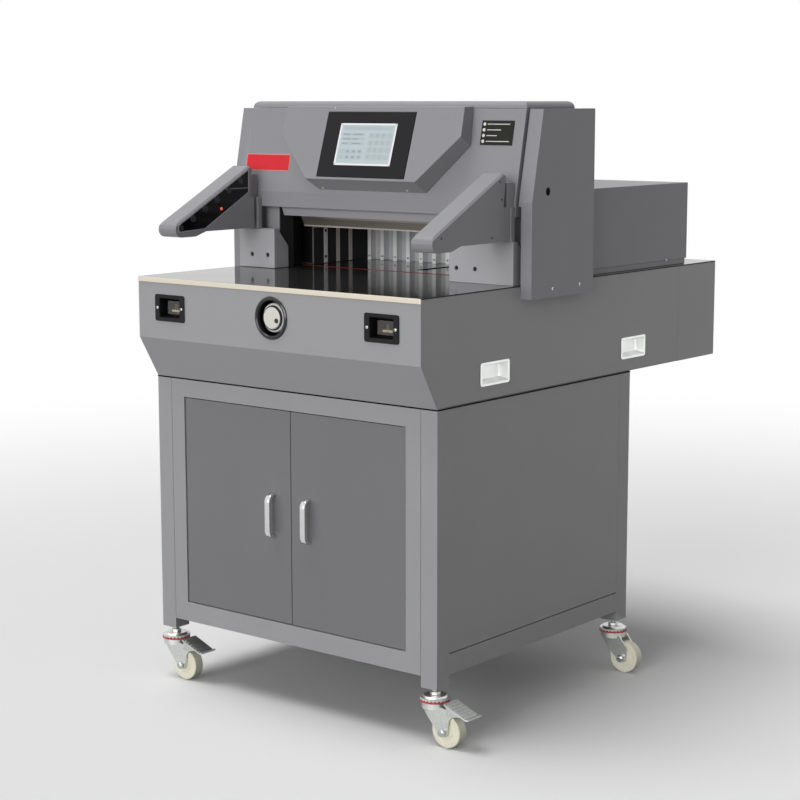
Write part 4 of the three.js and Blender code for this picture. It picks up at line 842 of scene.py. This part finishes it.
BEZEL_SCREW_REACH = 37.0
BEZEL_SCREW = 3.1
BEZEL_CORNER = 5.0
BEZEL_MOUTH = (63.5, 46.0)
BEZEL_THROAT = (59.0, 41.0)
BEZEL_WALL = 2.4
BEZEL_ROUNDING = 0.7
CAP_SIZE = (46.0, 33.0)
CAP_DEPTH = 10.1
CAP_WALL = 1.5
CAP_ROUNDING = 2.6
CAP_SEAT = 8.7
BASE_SEAT = 8.8
BASE_PLATE = ((-19.5, -13.0, -1.5), (19.5, 13.0, 0.0))
BASE_ROUNDING = 0.5
POST_RADIUS = 4.0
POST_TOP = -1.0
POST_SHORT = 9.0
UPPER_LAMPS = (((-3.0, -4.5, 0.0), (3.0, 7.5, 3.4)),)
LOWER_LAMPS = (((-12.0, -9.5, 0.0), (-1.5, -5.0, 4.0)), ((1.5, -9.5, 0.0), (12.0, -5.0, 4.0)))
LAMP_ROUNDING = 0.9


def button_bezel(node):
    """A flat frame on the panel, with a chamfered mouth and a closed cup behind it."""
    low, high = spans(node)
    middle = (low + high) / 2
    rise = -low.y - HAIR
    outline = (high.x - low.x, high.z - low.z)
    front = [size - BEZEL_ROUNDING * 2 for size in outline]
    shape = bmesh.new()
    rings = []
    for size, corner, level in (
        (outline, BEZEL_CORNER, -rise),
        (outline, BEZEL_CORNER, -BEZEL_ROUNDING),
        (front, BEZEL_CORNER, 0),
        (BEZEL_MOUTH, BEZEL_CORNER, 0),
        (BEZEL_THROAT, BEZEL_WALL, -rise),
        (BEZEL_THROAT, BEZEL_WALL, low.y - high.y + BEZEL_WALL),
    ):
        together(shape, placed(flat_face(*size, corner), Matrix.Translation((0, 0, level))))
        face, = shape.faces
        rings.append(face.edges[:])
        bmesh.ops.delete(shape, geom=[face], context="FACES_ONLY")
    for outer, inner in zip(rings, rings[1:]):
        bmesh.ops.bridge_loops(shape, edges=outer + inner)
    bmesh.ops.contextual_create(shape, geom=rings[-1])
    outwards(shape)
    bmesh.ops.solidify(shape, geom=shape.faces[:], thickness=HAIR)
    placed(shape, on(middle.x, low.y, middle.z, FRONTWARDS))
    keep(f"{node}_finished", shape, BLACK_ABS, "base", [node])


def button_cap():
    """A clear cap that is open behind."""
    shape = flat_face(*CAP_SIZE, BEZEL_CORNER)
    drawn_out(shape, shape.faces[:], (0, 0, CAP_DEPTH))
    outwards(shape)
    back = min(shape.faces, key=lambda face: face.calc_center_median().z)
    bmesh.ops.delete(shape, geom=[back], context="FACES_ONLY")
    soften(shape, CAP_ROUNDING, segments=4)
    bmesh.ops.solidify(shape, geom=shape.faces[:], thickness=CAP_WALL)
    return shape


def cutting_button(word):
    """A button's bezel and screws, and the clear cap, base and lamps that are pushed in."""
    bezel, node = f"button_bezel_{word}", f"cut_button_{word}"
    button_bezel(bezel)
    low, high = spans(bezel)
    middle = (low + high) / 2
    reaches = (-BEZEL_SCREW_REACH, BEZEL_SCREW_REACH)
    places = [on(middle.x + reach, low.y, middle.z, FRONTWARDS) for reach in reaches]
    screws(f"bezel_screws_{word}", BEZEL_SCREW, places)
    low, high = spans(node)
    seat = on(middle.x, low.y + CAP_SEAT, middle.z, FRONTWARDS)
    keep(f"{node}_cap", placed(button_cap(), seat), SMOKED, node, [node])
    tail = low.y - high.y + POST_SHORT
    post = turned([(0, POST_TOP), (POST_RADIUS, POST_TOP), (POST_RADIUS, tail), (0, tail)])
    base = together(soften(block(*BASE_PLATE), BASE_ROUNDING), post)
    base_place = on(middle.x, low.y + BASE_SEAT, middle.z, FRONTWARDS)
    keep(f"{node}_base", placed(base, base_place), BLACK_ABS, node)
    # Painted light: the lamps' glow also stands for the light that falls on them through the clear cap
    lamp_rows = (("lamp", UPPER_LAMPS, AMBER_LAMP_AND_PAINTED_LIGHT), ("lamps_low", LOWER_LAMPS, PALE_LAMP_AND_PAINTED_LIGHT))
    for name, sizes, material in lamp_rows:
        lamps = together(*[soften(block(*size), LAMP_ROUNDING) for size in sizes])
        keep(f"{node}_{name}", placed(lamps, seat), material, node)


for word in SIDES:
    cutting_button(word)

# Jog dial in its dish

SPINDLE = 5.4
DISH_BORE = 37.0
DISH_WALL = 2.5
DISH_FLOOR = ((30.0, 0.0), (35.0, 1.5), (DISH_BORE, 5.0))
DISH_LIP = ((0.0, -3.4), (0.8, -1.4), (2.6, -0.3), (4.0, 0.0))
DISH_RIM = ((-3.4, -0.4), (-1.2, -1.4), (-0.3, -2.6), (0.0, -3.7))
DIAL_TOP = 0.6
DIAL_RIM = ((-5.0, 0.5), (-2.4, 0.1), (-1.2, -0.9), (-0.8, -2.4))
SKIRT_HUB = 5.0
SKIRT_RIM = ((0.2, -2.6), (1.4, -3.4), (2.0, -7.0), (2.0, -13.0))
RING_TOP = ((2.6, -5.2), (4.4, -5.2))
RING_RADIUS = 31.0
RING_RIM = ((-0.4, -7.6), (0, -9.4), (0, -11.4))
GROOVE = ((-0.9, -2.5), (-0.9, -0.9), (0.8, -0.9), (0.8, -2.5), (-0.9, -2.5))
STUD = ((0, 0.62), (3.0, 0.75), (4.4, 1.1), (5.2, 1.0), (5.5, 0.4), (0, 0.4))
STUD_PLACE = (14, -5, 0)


def from_reach(reach, profile):
    """A profile given outwards from a reach."""
    return [(reach + out, level) for out, level in profile]


def jog_dish():
    """The glossy black dish that the dial lies in."""
    low, high = spans("jog_dish")
    middle = (low + high) / 2
    radius = (high.x - low.x) / 2
    depth = high.y - low.y
    floor = DISH_WALL - depth
    dish = turned([
        (SPINDLE, floor), *[(reach, floor + rise) for reach, rise in DISH_FLOOR],
        *from_reach(DISH_BORE, DISH_LIP), *from_reach(radius, DISH_RIM),
        (DISH_BORE + DISH_WALL, DISH_RIM[-1][1]), (DISH_BORE + DISH_WALL, -depth),
        (SPINDLE, -depth), (SPINDLE, floor),
    ])
    placed(dish, on(middle.x, low.y, middle.z, FRONTWARDS))
    keep("jog_dish_finished", dish, GLOSS_BLACK_ABS, "base", ["jog_dish"])
    return middle


def jog_dial(middle):
    """The ivory dial with its finger stud, in a black groove, on a skirt with a satin ring."""
    low, high = spans("jog_wheel")
    radius = (high.x - low.x) / 2
    rear = low.y - high.y
    place = on(middle.x, low.y, middle.z, FRONTWARDS)
    dial = turned([(0, DIAL_TOP), *from_reach(radius, DIAL_RIM), (0, DIAL_RIM[-1][1])])
    keep("jog_wheel_finished", placed(dial, place), IVORY_ABS, "jog_wheel", ["jog_wheel"])
    skirt = turned([
        (SKIRT_HUB, SKIRT_RIM[0][1]), *from_reach(radius, SKIRT_RIM), (SKIRT_HUB, SKIRT_RIM[-1][1]),
        (SKIRT_HUB, rear), (0, rear), (0, rear + 1), (0, -SKIRT_HUB), (SKIRT_HUB, SKIRT_RIM[0][1]),
    ])
    keep("jog_wheel_skirt", placed(skirt, place), GLOSS_BLACK_ABS, "jog_wheel")
    (inner, top), foot = from_reach(radius, RING_TOP)[0], RING_RIM[-1][1]
    ring = turned([
        *from_reach(radius, RING_TOP), *from_reach(RING_RADIUS, RING_RIM), (inner, foot), (inner, top)
    ])
    keep("jog_wheel_ring", placed(ring, place), RIB_METAL, "jog_wheel")
    groove = turned(from_reach(radius, GROOVE))
    keep("jog_wheel_groove", placed(groove, place), GLOSS_BLACK_ABS, "jog_wheel")
    stud = placed(turned(STUD, steps=32), place @ Matrix.Translation(STUD_PLACE))
    keep("jog_wheel_finger_stud", stud, GLOSS_BLACK_ABS, "jog_wheel")


jog_dial(jog_dish())

# Cutting unit

dressed("machine_frame", CASTING, rounding=2.5)
dressed("knife_carrier", CASTING, rounding=1.5)
dressed("knife_blade", BLADE_STEEL, rounding=0.3)
dressed("clamp_bar", BLADE_STEEL, rounding=1.2)
dressed("back_gauge", GAUGE_METAL, rounding=0.9)

GAUGE_FRONT = spans("back_gauge")[0].y
EDGE_SHARE = 0.16


def faced(name, node, wanted, material, move=None):
    """A thin layer before the wanted faces of a node."""
    shape = skin(node, wanted)
    if move:
        move(shape)
    drawn_out(shape, shape.faces[:], (0, -HAIR, 0))
    keep(name, outwards(shape), material, body_of_node[node])


def narrowed(shape):
    """Narrows the knife's leaning face to the bright edge that is ground along its foot."""
    foot, head = [pick(corner.co.z for corner in shape.verts) for pick in (min, max)]
    front, back = [pick(corner.co.y for corner in shape.verts) for pick in (min, max)]
    for corner in shape.verts:
        if corner.co.z > (foot + head) / 2:
            corner.co.y = back + (front - back) * EDGE_SHARE
            corner.co.z = foot + (head - foot) * EDGE_SHARE


def on_rib_front(face):
    return face.normal.y < -0.9 and face.calc_center_median().y < GAUGE_FRONT + HAIR


def on_knife_slope(face):
    return face.normal.y < -0.5 and face.normal.z < -0.2


faced("gauge_rib_fronts", "back_gauge", on_rib_front, RIB_METAL)
faced("knife_ground_edge", "knife_blade", on_knife_slope, EDGE_STEEL, narrowed)

for word in SIDES:
    dressed(f"side_guide_{word}", GUIDE_BOARD, rounding=0.5)

# Black plates on the inner faces of the front columns, level with the side guides
COLUMN_DEPTHS = (357.0, 402.0)
COLUMN_PLATE_TOP = TABLE_TOP + 142.0
for word in SIDES:
    low, high = spans(f"side_guide_{word}")
    front, rear = COLUMN_DEPTHS
    shape = block((low.x, front, low.z), (high.x, rear, COLUMN_PLATE_TOP))
    keep(f"column_plate_{word}", soften(shape, HAIR), GUIDE_BOARD)

# A black sheet of painted shade closes the left slideways towards the tower, and a grey one each gap behind a
# pedestal
SHEET_FOOT = TABLE_TOP + 1.0
SLIDEWAY_SHADE_SHEET = ((-345.2, 396.0, SHEET_FOOT), (-344.2, 484.0, COLUMN_PLATE_TOP))
GAP_REACHES = {"left": (-393.0, -345.0), "right": (268.0, 393.0)}
GAP_DEPTHS = (377.0, 379.0)
# Painted shade: this black sheet stands for the dark seen through the slideways
keep("slideway_shade_sheet_left", block(*SLIDEWAY_SHADE_SHEET), GUIDE_BOARD)
for word, (left, right) in GAP_REACHES.items():
    front, rear = GAP_DEPTHS
    shape = block((left, front, SHEET_FOOT), (right, rear, COLUMN_PLATE_TOP))
    keep(f"gap_sheet_{word}", soften(shape, HAIR), HEAD_COAT_AND_SHADE)

# Bright strips on the left side guide, the front one held by two screws
GUIDE_STRIPS = (516.0, 561.0, 607.0)
GUIDE_STRIP_HALF = 6.8
GUIDE_STRIP_THICKNESS = 0.6
GUIDE_STRIP_ROUNDING = 0.2
GUIDE_SCREW_LEVELS = (948.0, 1010.0)
GUIDE_SCREW = ((0, 0.2), (3.4, 0.2), (3.6, 0), (0, 0))
guide_face, guide_top = spans("side_guide_left")[1].xz
strip_face = guide_face + GUIDE_STRIP_THICKNESS
strips = []
for y in GUIDE_STRIPS:
    low, high = (guide_face, y - GUIDE_STRIP_HALF, SHEET_FOOT), (strip_face, y + GUIDE_STRIP_HALF, guide_top)
    strips.append(soften(block(low, high), GUIDE_STRIP_ROUNDING))
keep("guide_strip_front", strips[0], RIB_METAL)
keep("guide_strips_rear", together(*strips[1:]), STRIP_METAL)
heads = [
    placed(turned(GUIDE_SCREW, steps=24), on(strip_face, GUIDE_STRIPS[0], level, RIGHTWARDS))
    for level in GUIDE_SCREW_LEVELS
]
keep("guide_strip_screws", together(*heads), BLACK_RUBBER)

# Pedestals, each with two plugged holes
PLUG_REACHES = {"left": (-311.0, -360.0), "right": (240.0, 289.5)}
PLUG_LEVEL = TABLE_TOP + 30.5
PLUG_PROFILE = ((0, -2.4), (2.4, -2.3), (3.8, -1.6), (4.7, -2.6), (4.7, -7), (0, -7))
for word, reaches in PLUG_REACHES.items():
    node = f"pedestal_{word}"
    dressed(node, PEDESTAL_COAT, rounding=2.6, segments=3)
    face = spans(node)[0].y
    places = [on(reach, face, PLUG_LEVEL, FRONTWARDS) for reach in reaches]
    plugs = [placed(turned(PLUG_PROFILE, steps=24), place) for place in places]
    keep(f"pedestal_plugs_{word}", together(*plugs), BLACK_RUBBER)

# Tower covers, head, lid and rear cover

TOWER_SCREWS = ((415.0, TABLE_TOP - 10), (518.0, TABLE_TOP - 8))
TOWER_SCREW = 3.4
for word, side in SIDES.items():
    node = f"tower_cover_{word}"
    dressed(node, HEAD_COAT_AND_SHADE, rounding=2.0)
    low, high = spans(node)
    face, facing = (high.x, RIGHTWARDS) if side > 0 else (low.x, LEFTWARDS)
    screws(f"tower_screws_{word}", TOWER_SCREW, [on(face, y, z, facing) for y, z in TOWER_SCREWS])

dressed("head_cover", HEAD_COAT_AND_SHADE, rounding=0.9)
LID_CORNER = 13.0
LID_SHEET = 2.0
LID_ROUNDING = 0.6
lid = merged_copy("head_lid")
lid_high = spans("head_lid")[1]
for inset in (0, LID_SHEET):
    ends = [
        edge for edge in lid.edges
        if all(abs(corner.co.z - lid_high.z + inset) < HAIR for corner in edge.verts)
        and all(abs(abs(corner.co.x) - lid_high.x + inset) < HAIR for corner in edge.verts)
    ]
    rounded(lid, ends, LID_CORNER - inset, segments=6, clamped=False)
keep("head_lid_finished", soften(lid, LID_ROUNDING), HEAD_COAT_AND_SHADE, "base", ["head_lid"])
dressed("control_pod", HEAD_COAT_AND_SHADE, rounding=1.6)
dressed("rear_cover", REAR_COAT, rounding=0.9)
REAR_COVER_SCREW = 2.6
REAR_COVER_SCREW_PLACE = (951.0, TABLE_TOP + 13.2)
rear_cover_side = spans("rear_cover")[1].x
for word, side in SIDES.items():
    facing = RIGHTWARDS if side > 0 else LEFTWARDS
    place = on(side * rear_cover_side, *REAR_COVER_SCREW_PLACE, facing)
    screws(f"rear_cover_screw_{word}", REAR_COVER_SCREW, [place])

# Touch screen on the pod's leaning face

POD_LEAN = 0.32
POD_TOP_FRONT = 337.0
pod_lean = Matrix.Rotation(math.atan2(1, POD_LEAN), 4, "X")
pod_face = on(0, POD_TOP_FRONT, spans("control_pod")[1].z, pod_lean)
DISPLAY_SIZE = (161.0, 96.0)
DISPLAY_MIDDLE = -87.25
FRAME_BORDER = 4.2
FRAME_THICKNESS = 1.6
FRAME_CORNER = 1.0
FRAME_ROUNDING = 0.4
GLASS_THICKNESS = 0.5
GLASS_CORNER = 0.5
INK_LEVEL = 0.75
MARK_LEVEL = 0.87
INK = 0.08
THIN_INK = 0.06

# The display's title, keys, lower keys and lines: width, height and corner of one, where the first one
# stands, how far the next ones are across and down, and how many there are across and down
TITLE = ((140, 7, 1), (0, 36.5), (0, 0), (1, 1))
KEYS = ((14.5, 12, 1.5), (13, 20), (17, 16), (4, 4))
LOWER_KEYS = ((14.5, 10, 1.5), (-64, -16), (17, 13), (4, 2))
LINES = ((64, 6.5, 1), (-38, 23), (0, 10.5), (1, 3))
KEY_FIGURES = "789 456 123 0"
FIGURE_SIZE = 8.5
LINE_STARTS = (-68, -40)
LINE_LENGTHS = ((18, 26), (22, 16), (15, 24))
LINE_MARK = (2.6, 0.4)
KEY_MARK = (7, 4.5, 1)


def display_place(x, y, rise=0.0):
    return pod_face @ Matrix.Translation((x, DISPLAY_MIDDLE + y, rise))


def spots(first, pitch, counts):
    """Where the members of a grid stand, row by row."""
    across, down = counts
    return [
        (first[0] + column * pitch[0], first[1] - row * pitch[1])
        for row in range(down) for column in range(across)
    ]


def figure(sign, size):
    """A plain figure as a flat shape."""
    text = bpy.data.curves.new("figure", "FONT")
    text.body = sign
    text.size = size
    text.align_x = "CENTER"
    text.align_y = "CENTER"
    carrier = bpy.data.objects.new("figure", text)
    mesh = bpy.data.meshes.new_from_object(carrier)
    shape = bmesh.new()
    shape.from_mesh(mesh)
    bpy.data.objects.remove(carrier)
    bpy.data.curves.remove(text)
    bpy.data.meshes.remove(mesh)
    return shape


def touch_screen():
    """The black screen with a silver frame, its display and a generic grid of keys."""
    dressed("touch_screen", BLACK_ABS, rounding=1.0)
    width, height = DISPLAY_SIZE
    border = window_frame(
        width - HAIR, height - HAIR, FRAME_BORDER, FRAME_THICKNESS, FRAME_CORNER, FRAME_ROUNDING
    )
    keep("display_frame", placed(border, display_place(0, 0, HAIR / 2)), SILVER_FRAME)
    inner = (width - 2 * FRAME_BORDER, height - 2 * FRAME_BORDER)
    glass = plate(*inner, GLASS_THICKNESS, GLASS_CORNER)
    keep("display_glass", placed(glass, display_place(0, 0, HAIR / 2)), DISPLAY)
    cells = [
        placed(plate(wide, tall, INK, corner), display_place(x, y, INK_LEVEL))
        for (wide, tall, corner), *places in (TITLE, KEYS, LOWER_KEYS, LINES) for x, y in spots(*places)
    ]
    keep("display_keys", together(*cells), GREY_INK)
    figures = [
        placed(figure(sign, FIGURE_SIZE), display_place(*spot, MARK_LEVEL))
        for sign, spot in zip(KEY_FIGURES, spots(*KEYS[1:])) if sign != " "
    ]
    keep("display_figures", together(*figures), DARK_INK)
    marks = []
    for (_, y), lengths in zip(spots(*LINES[1:]), LINE_LENGTHS):
        tall, corner = LINE_MARK
        for start, long in zip(LINE_STARTS, lengths):
            place = display_place(start + long / 2, y, MARK_LEVEL)
            marks.append(placed(plate(long, tall, THIN_INK, corner), place))
    wide, tall, corner = KEY_MARK
    for x, y in spots(*LOWER_KEYS[1:]):
        if x > LOWER_KEYS[1][0]:
            marks.append(placed(plate(wide, tall, THIN_INK, corner), display_place(x, y, MARK_LEVEL)))
    keep("display_marks", together(*marks), DARK_INK)


touch_screen()
POD_FOOT_SCREWS = ((-135.0, 322.0, 1123.5), (108.0, 321.5, 1123.5))
POD_FOOT_LEAN = math.radians(145)
POD_FOOT_SCREW = 3.4
POD_FACE_SCREW = 1.6
POD_FACE_SCREW_PLACE = (-109, -4, 0)
pod_foot_face = Matrix.Rotation(POD_FOOT_LEAN, 4, "X")
screws("pod_foot_screws", POD_FOOT_SCREW, [on(*place, pod_foot_face) for place in POD_FOOT_SCREWS])
screws("pod_face_screw", POD_FACE_SCREW, [pod_face @ Matrix.Translation(POD_FACE_SCREW_PLACE)])

# Plates on the head's leaning face

HEAD_LEAN = 39 / 193.5
HEAD_FRONT = 330.0
HEAD_KNEE = TABLE_TOP + 178.0
head_face = on(0, HEAD_FRONT, HEAD_KNEE, Matrix.Rotation(math.atan2(1, HEAD_LEAN), 4, "X"))
face_stretch = math.hypot(1, HEAD_LEAN)
NAME_PLATE = (132.0, 35.8)
NAME_PLATE_MIDDLE = (-321.8, 1175.5)
NAME_PLATE_BORDER = 1.1
LEGEND = (84.0, 52.5)
LEGEND_MIDDLE = (322.5, 1249.0)
LEGEND_THICKNESS = 0.8
LEGEND_BARS = (58.0, 36.0, 27.0, 60.0)
LEGEND_BAR_LEFT = -27.0
LEGEND_DOT_REACH = -35.0
LEGEND_TOP_ROW = 18.0
LEGEND_ROW = 12.0
LEGEND_DOT = ((0, 0.3), (3.0, 0.25), (3.7, 0), (0, 0))


def on_head(x, level, rise=HAIR):
    return head_face @ Matrix.Translation((x, (level - HEAD_KNEE) * face_stretch, rise))


def head_plates():
    """The blank red plate on its pale border, and the black legend plate with its dots and bars."""
    border = plate(*[size + NAME_PLATE_BORDER * 2 for size in NAME_PLATE], thickness=0.6, corner=3.0)
    keep("name_plate_border", placed(border, on_head(*NAME_PLATE_MIDDLE)), PALE_RED_LACQUER)
    name_plate = plate(*NAME_PLATE, thickness=1.2, corner=2.5, rounding=0.4)
    keep("name_plate", placed(name_plate, on_head(*NAME_PLATE_MIDDLE)), RED_LACQUER)
    legend = plate(*LEGEND, LEGEND_THICKNESS, corner=1.5, rounding=0.3)
    keep("legend_plate", placed(legend, on_head(*LEGEND_MIDDLE)), LEGEND_LACQUER)
    marks = []
    across, top = LEGEND_MIDDLE
    rise = HAIR + LEGEND_THICKNESS
    for row, length in enumerate(LEGEND_BARS):
        level = top + LEGEND_TOP_ROW - row * LEGEND_ROW
        dot = turned(LEGEND_DOT, steps=24)
        marks.append(placed(dot, on_head(across + LEGEND_DOT_REACH, level, rise)))
        bar = plate(length, 1.7, thickness=0.2, corner=0.5)
        marks.append(placed(bar, on_head(across + LEGEND_BAR_LEFT + length / 2, level, rise)))
    keep("legend_marks", together(*marks), PALE_INK)


head_plates()

# Light-curtain arms with their sensors

ARM_SIDE = 387.0
ARM_ROUNDING = 2.8
ARM_SCREW = 2.3
ARM_SCREWS = ((280.0, 1150.0), (286.0, 1114.0), (252.0, 1036.5), (82.0, 1045.0))
NOSE_MIDDLE = Vector((70.0, TABLE_TOP + 102.0))
NOSE_RADIUS = 18.0
NOSE_BEND = 4.2
RIM_WIDTH = 1.8
SENSORS = 6
SENSOR_FIRST = Vector((69.3, 1036.5))
SENSOR_LAST = Vector((262.3, 1136.0))
LENS_PROFILE = (
    (0, 0.9), (3.0, 0.7), (5.0, 0.3), (5.6, 0.3), (5.8, 1.0), (7.4, 1.0), (7.9, 0.5), (7.9, 0), (0, 0)
)
LAMP_PLACE = (197.9, 1074.5)
LAMP_PROFILE = ((0, 3.0), (2.0, 2.6), (3.4, 1.4), (3.9, 0), (0, 0))
DIVIDER = ((211.0, 1118.0), (291.0, 1119.0))
DIVIDER_PROUD = 0.4


def guard_arm(node):
    """An arm with a round nose and soft edges."""
    shape = merged_copy(node)
    bends = [
        edge for edge in shape.edges
        if abs(edge.verts[0].co.x - edge.verts[1].co.x) > NOSE_RADIUS
        and all((corner.co.yz - NOSE_MIDDLE).length < NOSE_RADIUS + HAIR for corner in edge.verts)
    ]
    rounded(shape, bends, NOSE_BEND, segments=4)
    keep(f"{node}_finished", soften(shape, ARM_ROUNDING, segments=3), HEAD_COAT_AND_SHADE, body_of_node[node], [node])


def window_rim(node, side):
    """A thin pale bead round a sensor window's visible face."""
    shape = skin(node, lambda face: face.normal.x * side < -0.9)
    front = shape.faces[:]
    bmesh.ops.inset_region(
        shape, faces=front, thickness=RIM_WIDTH, use_even_offset=True, use_boundary=True
    )
    bmesh.ops.delete(shape, geom=front, context="FACES_ONLY")
    drawn_out(shape, shape.faces[:], (-side * RIM_WIDTH / 2, 0, 0))
    return outwards(shape)


def light_curtain(word, side):
    """An arm, its black window with sensors, lamp and divider, and its screws."""
    guard_arm(f"guard_arm_{word}")
    node = f"sensor_window_{word}"
    dressed(node, BLACK_ACRYLIC, rounding=0.4)
    keep(f"window_rim_{word}", window_rim(node, side), PALE_BEAD)
    low, high = spans(node)
    inward, outward = (LEFTWARDS, RIGHTWARDS) if side > 0 else (RIGHTWARDS, LEFTWARDS)
    face = low.x if side > 0 else high.x
    lenses = []
    for number in range(SENSORS):
        y, z = SENSOR_FIRST.lerp(SENSOR_LAST, number / (SENSORS - 1))
        lenses.append(placed(turned(LENS_PROFILE, steps=32), on(face, y, z, inward)))
    keep(f"sensor_lenses_{word}", together(*lenses), LENS)
    lamp = turned(LAMP_PROFILE, steps=24)
    keep(f"curtain_lamp_{word}", placed(lamp, on(face, *LAMP_PLACE, inward)), LAMP_RED)
    near, far = sorted((face, face - side * DIVIDER_PROUD))
    divider = block((near, *DIVIDER[0]), (far, *DIVIDER[1]))
    keep(f"window_divider_{word}", divider, GREY_INK)
    places = [on(side * ARM_SIDE, y, z, outward) for y, z in ARM_SCREWS]
    screws(f"arm_screws_{word}", ARM_SCREW, places, material=DARK_SCREW)


for word, side in SIDES.items():
    light_curtain(word, side)

# Floor, light and camera

FLOOR_RADIUS = 40.0
FLOOR_SIDES = 96
FADE = (1.2, 4.5)


def seen(tree):
    """One where the camera, a reflection or clear plastic looks, and nought for all other light."""
    rays = add(tree, "LightPath").outputs
    share = rays["Is Camera Ray"]
    for kind in ("Is Glossy Ray", "Is Transmission Ray"):
        share = add(tree, "Math", {0: share, 1: rays[kind]}, operation="MAXIMUM").outputs[0]
    return share


def stage_floor():
    """A pale floor that fades into the white backdrop a few metres out and keeps the machine's shadow."""
    shape = bmesh.new()
    bmesh.ops.create_circle(shape, cap_ends=True, radius=FLOOR_RADIUS, segments=FLOOR_SIDES)
    mesh = bpy.data.meshes.new("floor")
    shape.to_mesh(mesh)
    shape.free()
    floor = bpy.data.objects.new("floor", mesh)
    bpy.context.scene.collection.objects.link(floor)
    material = bpy.data.materials.new("pale_studio_floor")
    material.use_nodes = True
    tree = material.node_tree
    tree.nodes.clear()
    looked_at = seen(tree)
    tone = add(tree, "Mix", {0: looked_at, 6: srgb("#767676"), 7: srgb("#F2F2F2")}, data_type="RGBA")
    paint = add(tree, "BsdfDiffuse", {"Color": tone.outputs[2]})
    white = add(tree, "Emission", {"Color": srgb("#FFFFFF"), "Strength": 1.0})
    place = add(tree, "TexCoord").outputs["Object"]
    reach = add(tree, "VectorMath", {0: place}, operation="LENGTH").outputs["Value"]
    ends = {"Value": reach, "From Min": FADE[0], "From Max": FADE[1]}
    far = add(tree, "MapRange", ends, interpolation_type="SMOOTHSTEP")
    fade = add(tree, "Math", {0: far.outputs[0], 1: looked_at}, operation="MULTIPLY")
    both = add(tree, "MixShader", {0: fade.outputs[0], 1: paint.outputs[0], 2: white.outputs[0]})
    add(tree, "OutputMaterial", {"Surface": both.outputs[0]})
    mesh.materials.append(material)


# Each lamp as its name, the way towards it, how wide it looks in degrees and its strength
LAMPS = (
    ("soft_light_from_above", (-0.25, -0.15, 0.96), 35, 1.6),
    ("soft_light_from_before", (0.08, -0.99, 0.06), 48, 2.6),
)
AMBIENT = 0.27


def studio_light():
    """Even light from all round, white where the camera or a reflection sees it, and two soft lamps."""
    world = bpy.data.worlds.new("studio")
    bpy.context.scene.world = world
    world.use_nodes = True
    tree = world.node_tree
    tree.nodes.clear()
    even = add(tree, "Background", {"Color": srgb("#FFFFFF"), "Strength": AMBIENT})
    white = add(tree, "Background", {"Color": srgb("#FFFFFF"), "Strength": 1.0})
    both = add(tree, "MixShader", {0: seen(tree), 1: even.outputs[0], 2: white.outputs[0]})
    add(tree, "OutputWorld", {"Surface": both.outputs[0]})
    for name, towards, width, strength in LAMPS:
        light = bpy.data.lights.new(name, "SUN")
        light.energy = strength
        light.angle = math.radians(width)
        lamp = bpy.data.objects.new(name, light)
        lamp.rotation_euler = Vector(towards).to_track_quat("Z", "Y").to_euler()
        bpy.context.scene.collection.objects.link(lamp)


CAMERA_PLACE = (2713.3, -2926.0, 1319.0)
CAMERA_AZIMUTH = math.radians(38.96)
CAMERA_ELEVATION = math.radians(8.95)
CAMERA_ROLL = math.radians(-0.07)
CAMERA_LENS = 85.9


def camera():
    """The camera stands where the photograph's stood: before the machine on its right, a little above it."""
    lens = bpy.data.cameras.new("camera")
    lens.lens = CAMERA_LENS
    eye = bpy.data.objects.new("camera", lens)
    eye.location = HOME @ Vector(CAMERA_PLACE)
    level = math.cos(CAMERA_ELEVATION)
    back = Vector((
        math.sin(CAMERA_AZIMUTH) * level, -math.cos(CAMERA_AZIMUTH) * level, math.sin(CAMERA_ELEVATION)
    ))
    turn = (-back).to_track_quat("-Z", "Y").to_matrix() @ Matrix.Rotation(CAMERA_ROLL, 3, "Z")
    eye.rotation_euler = turn.to_euler()
    bpy.context.scene.collection.objects.link(eye)
    bpy.context.scene.camera = eye


stage_floor()
studio_light()
camera()
bpy.context.scene.view_settings.view_transform = "Standard"
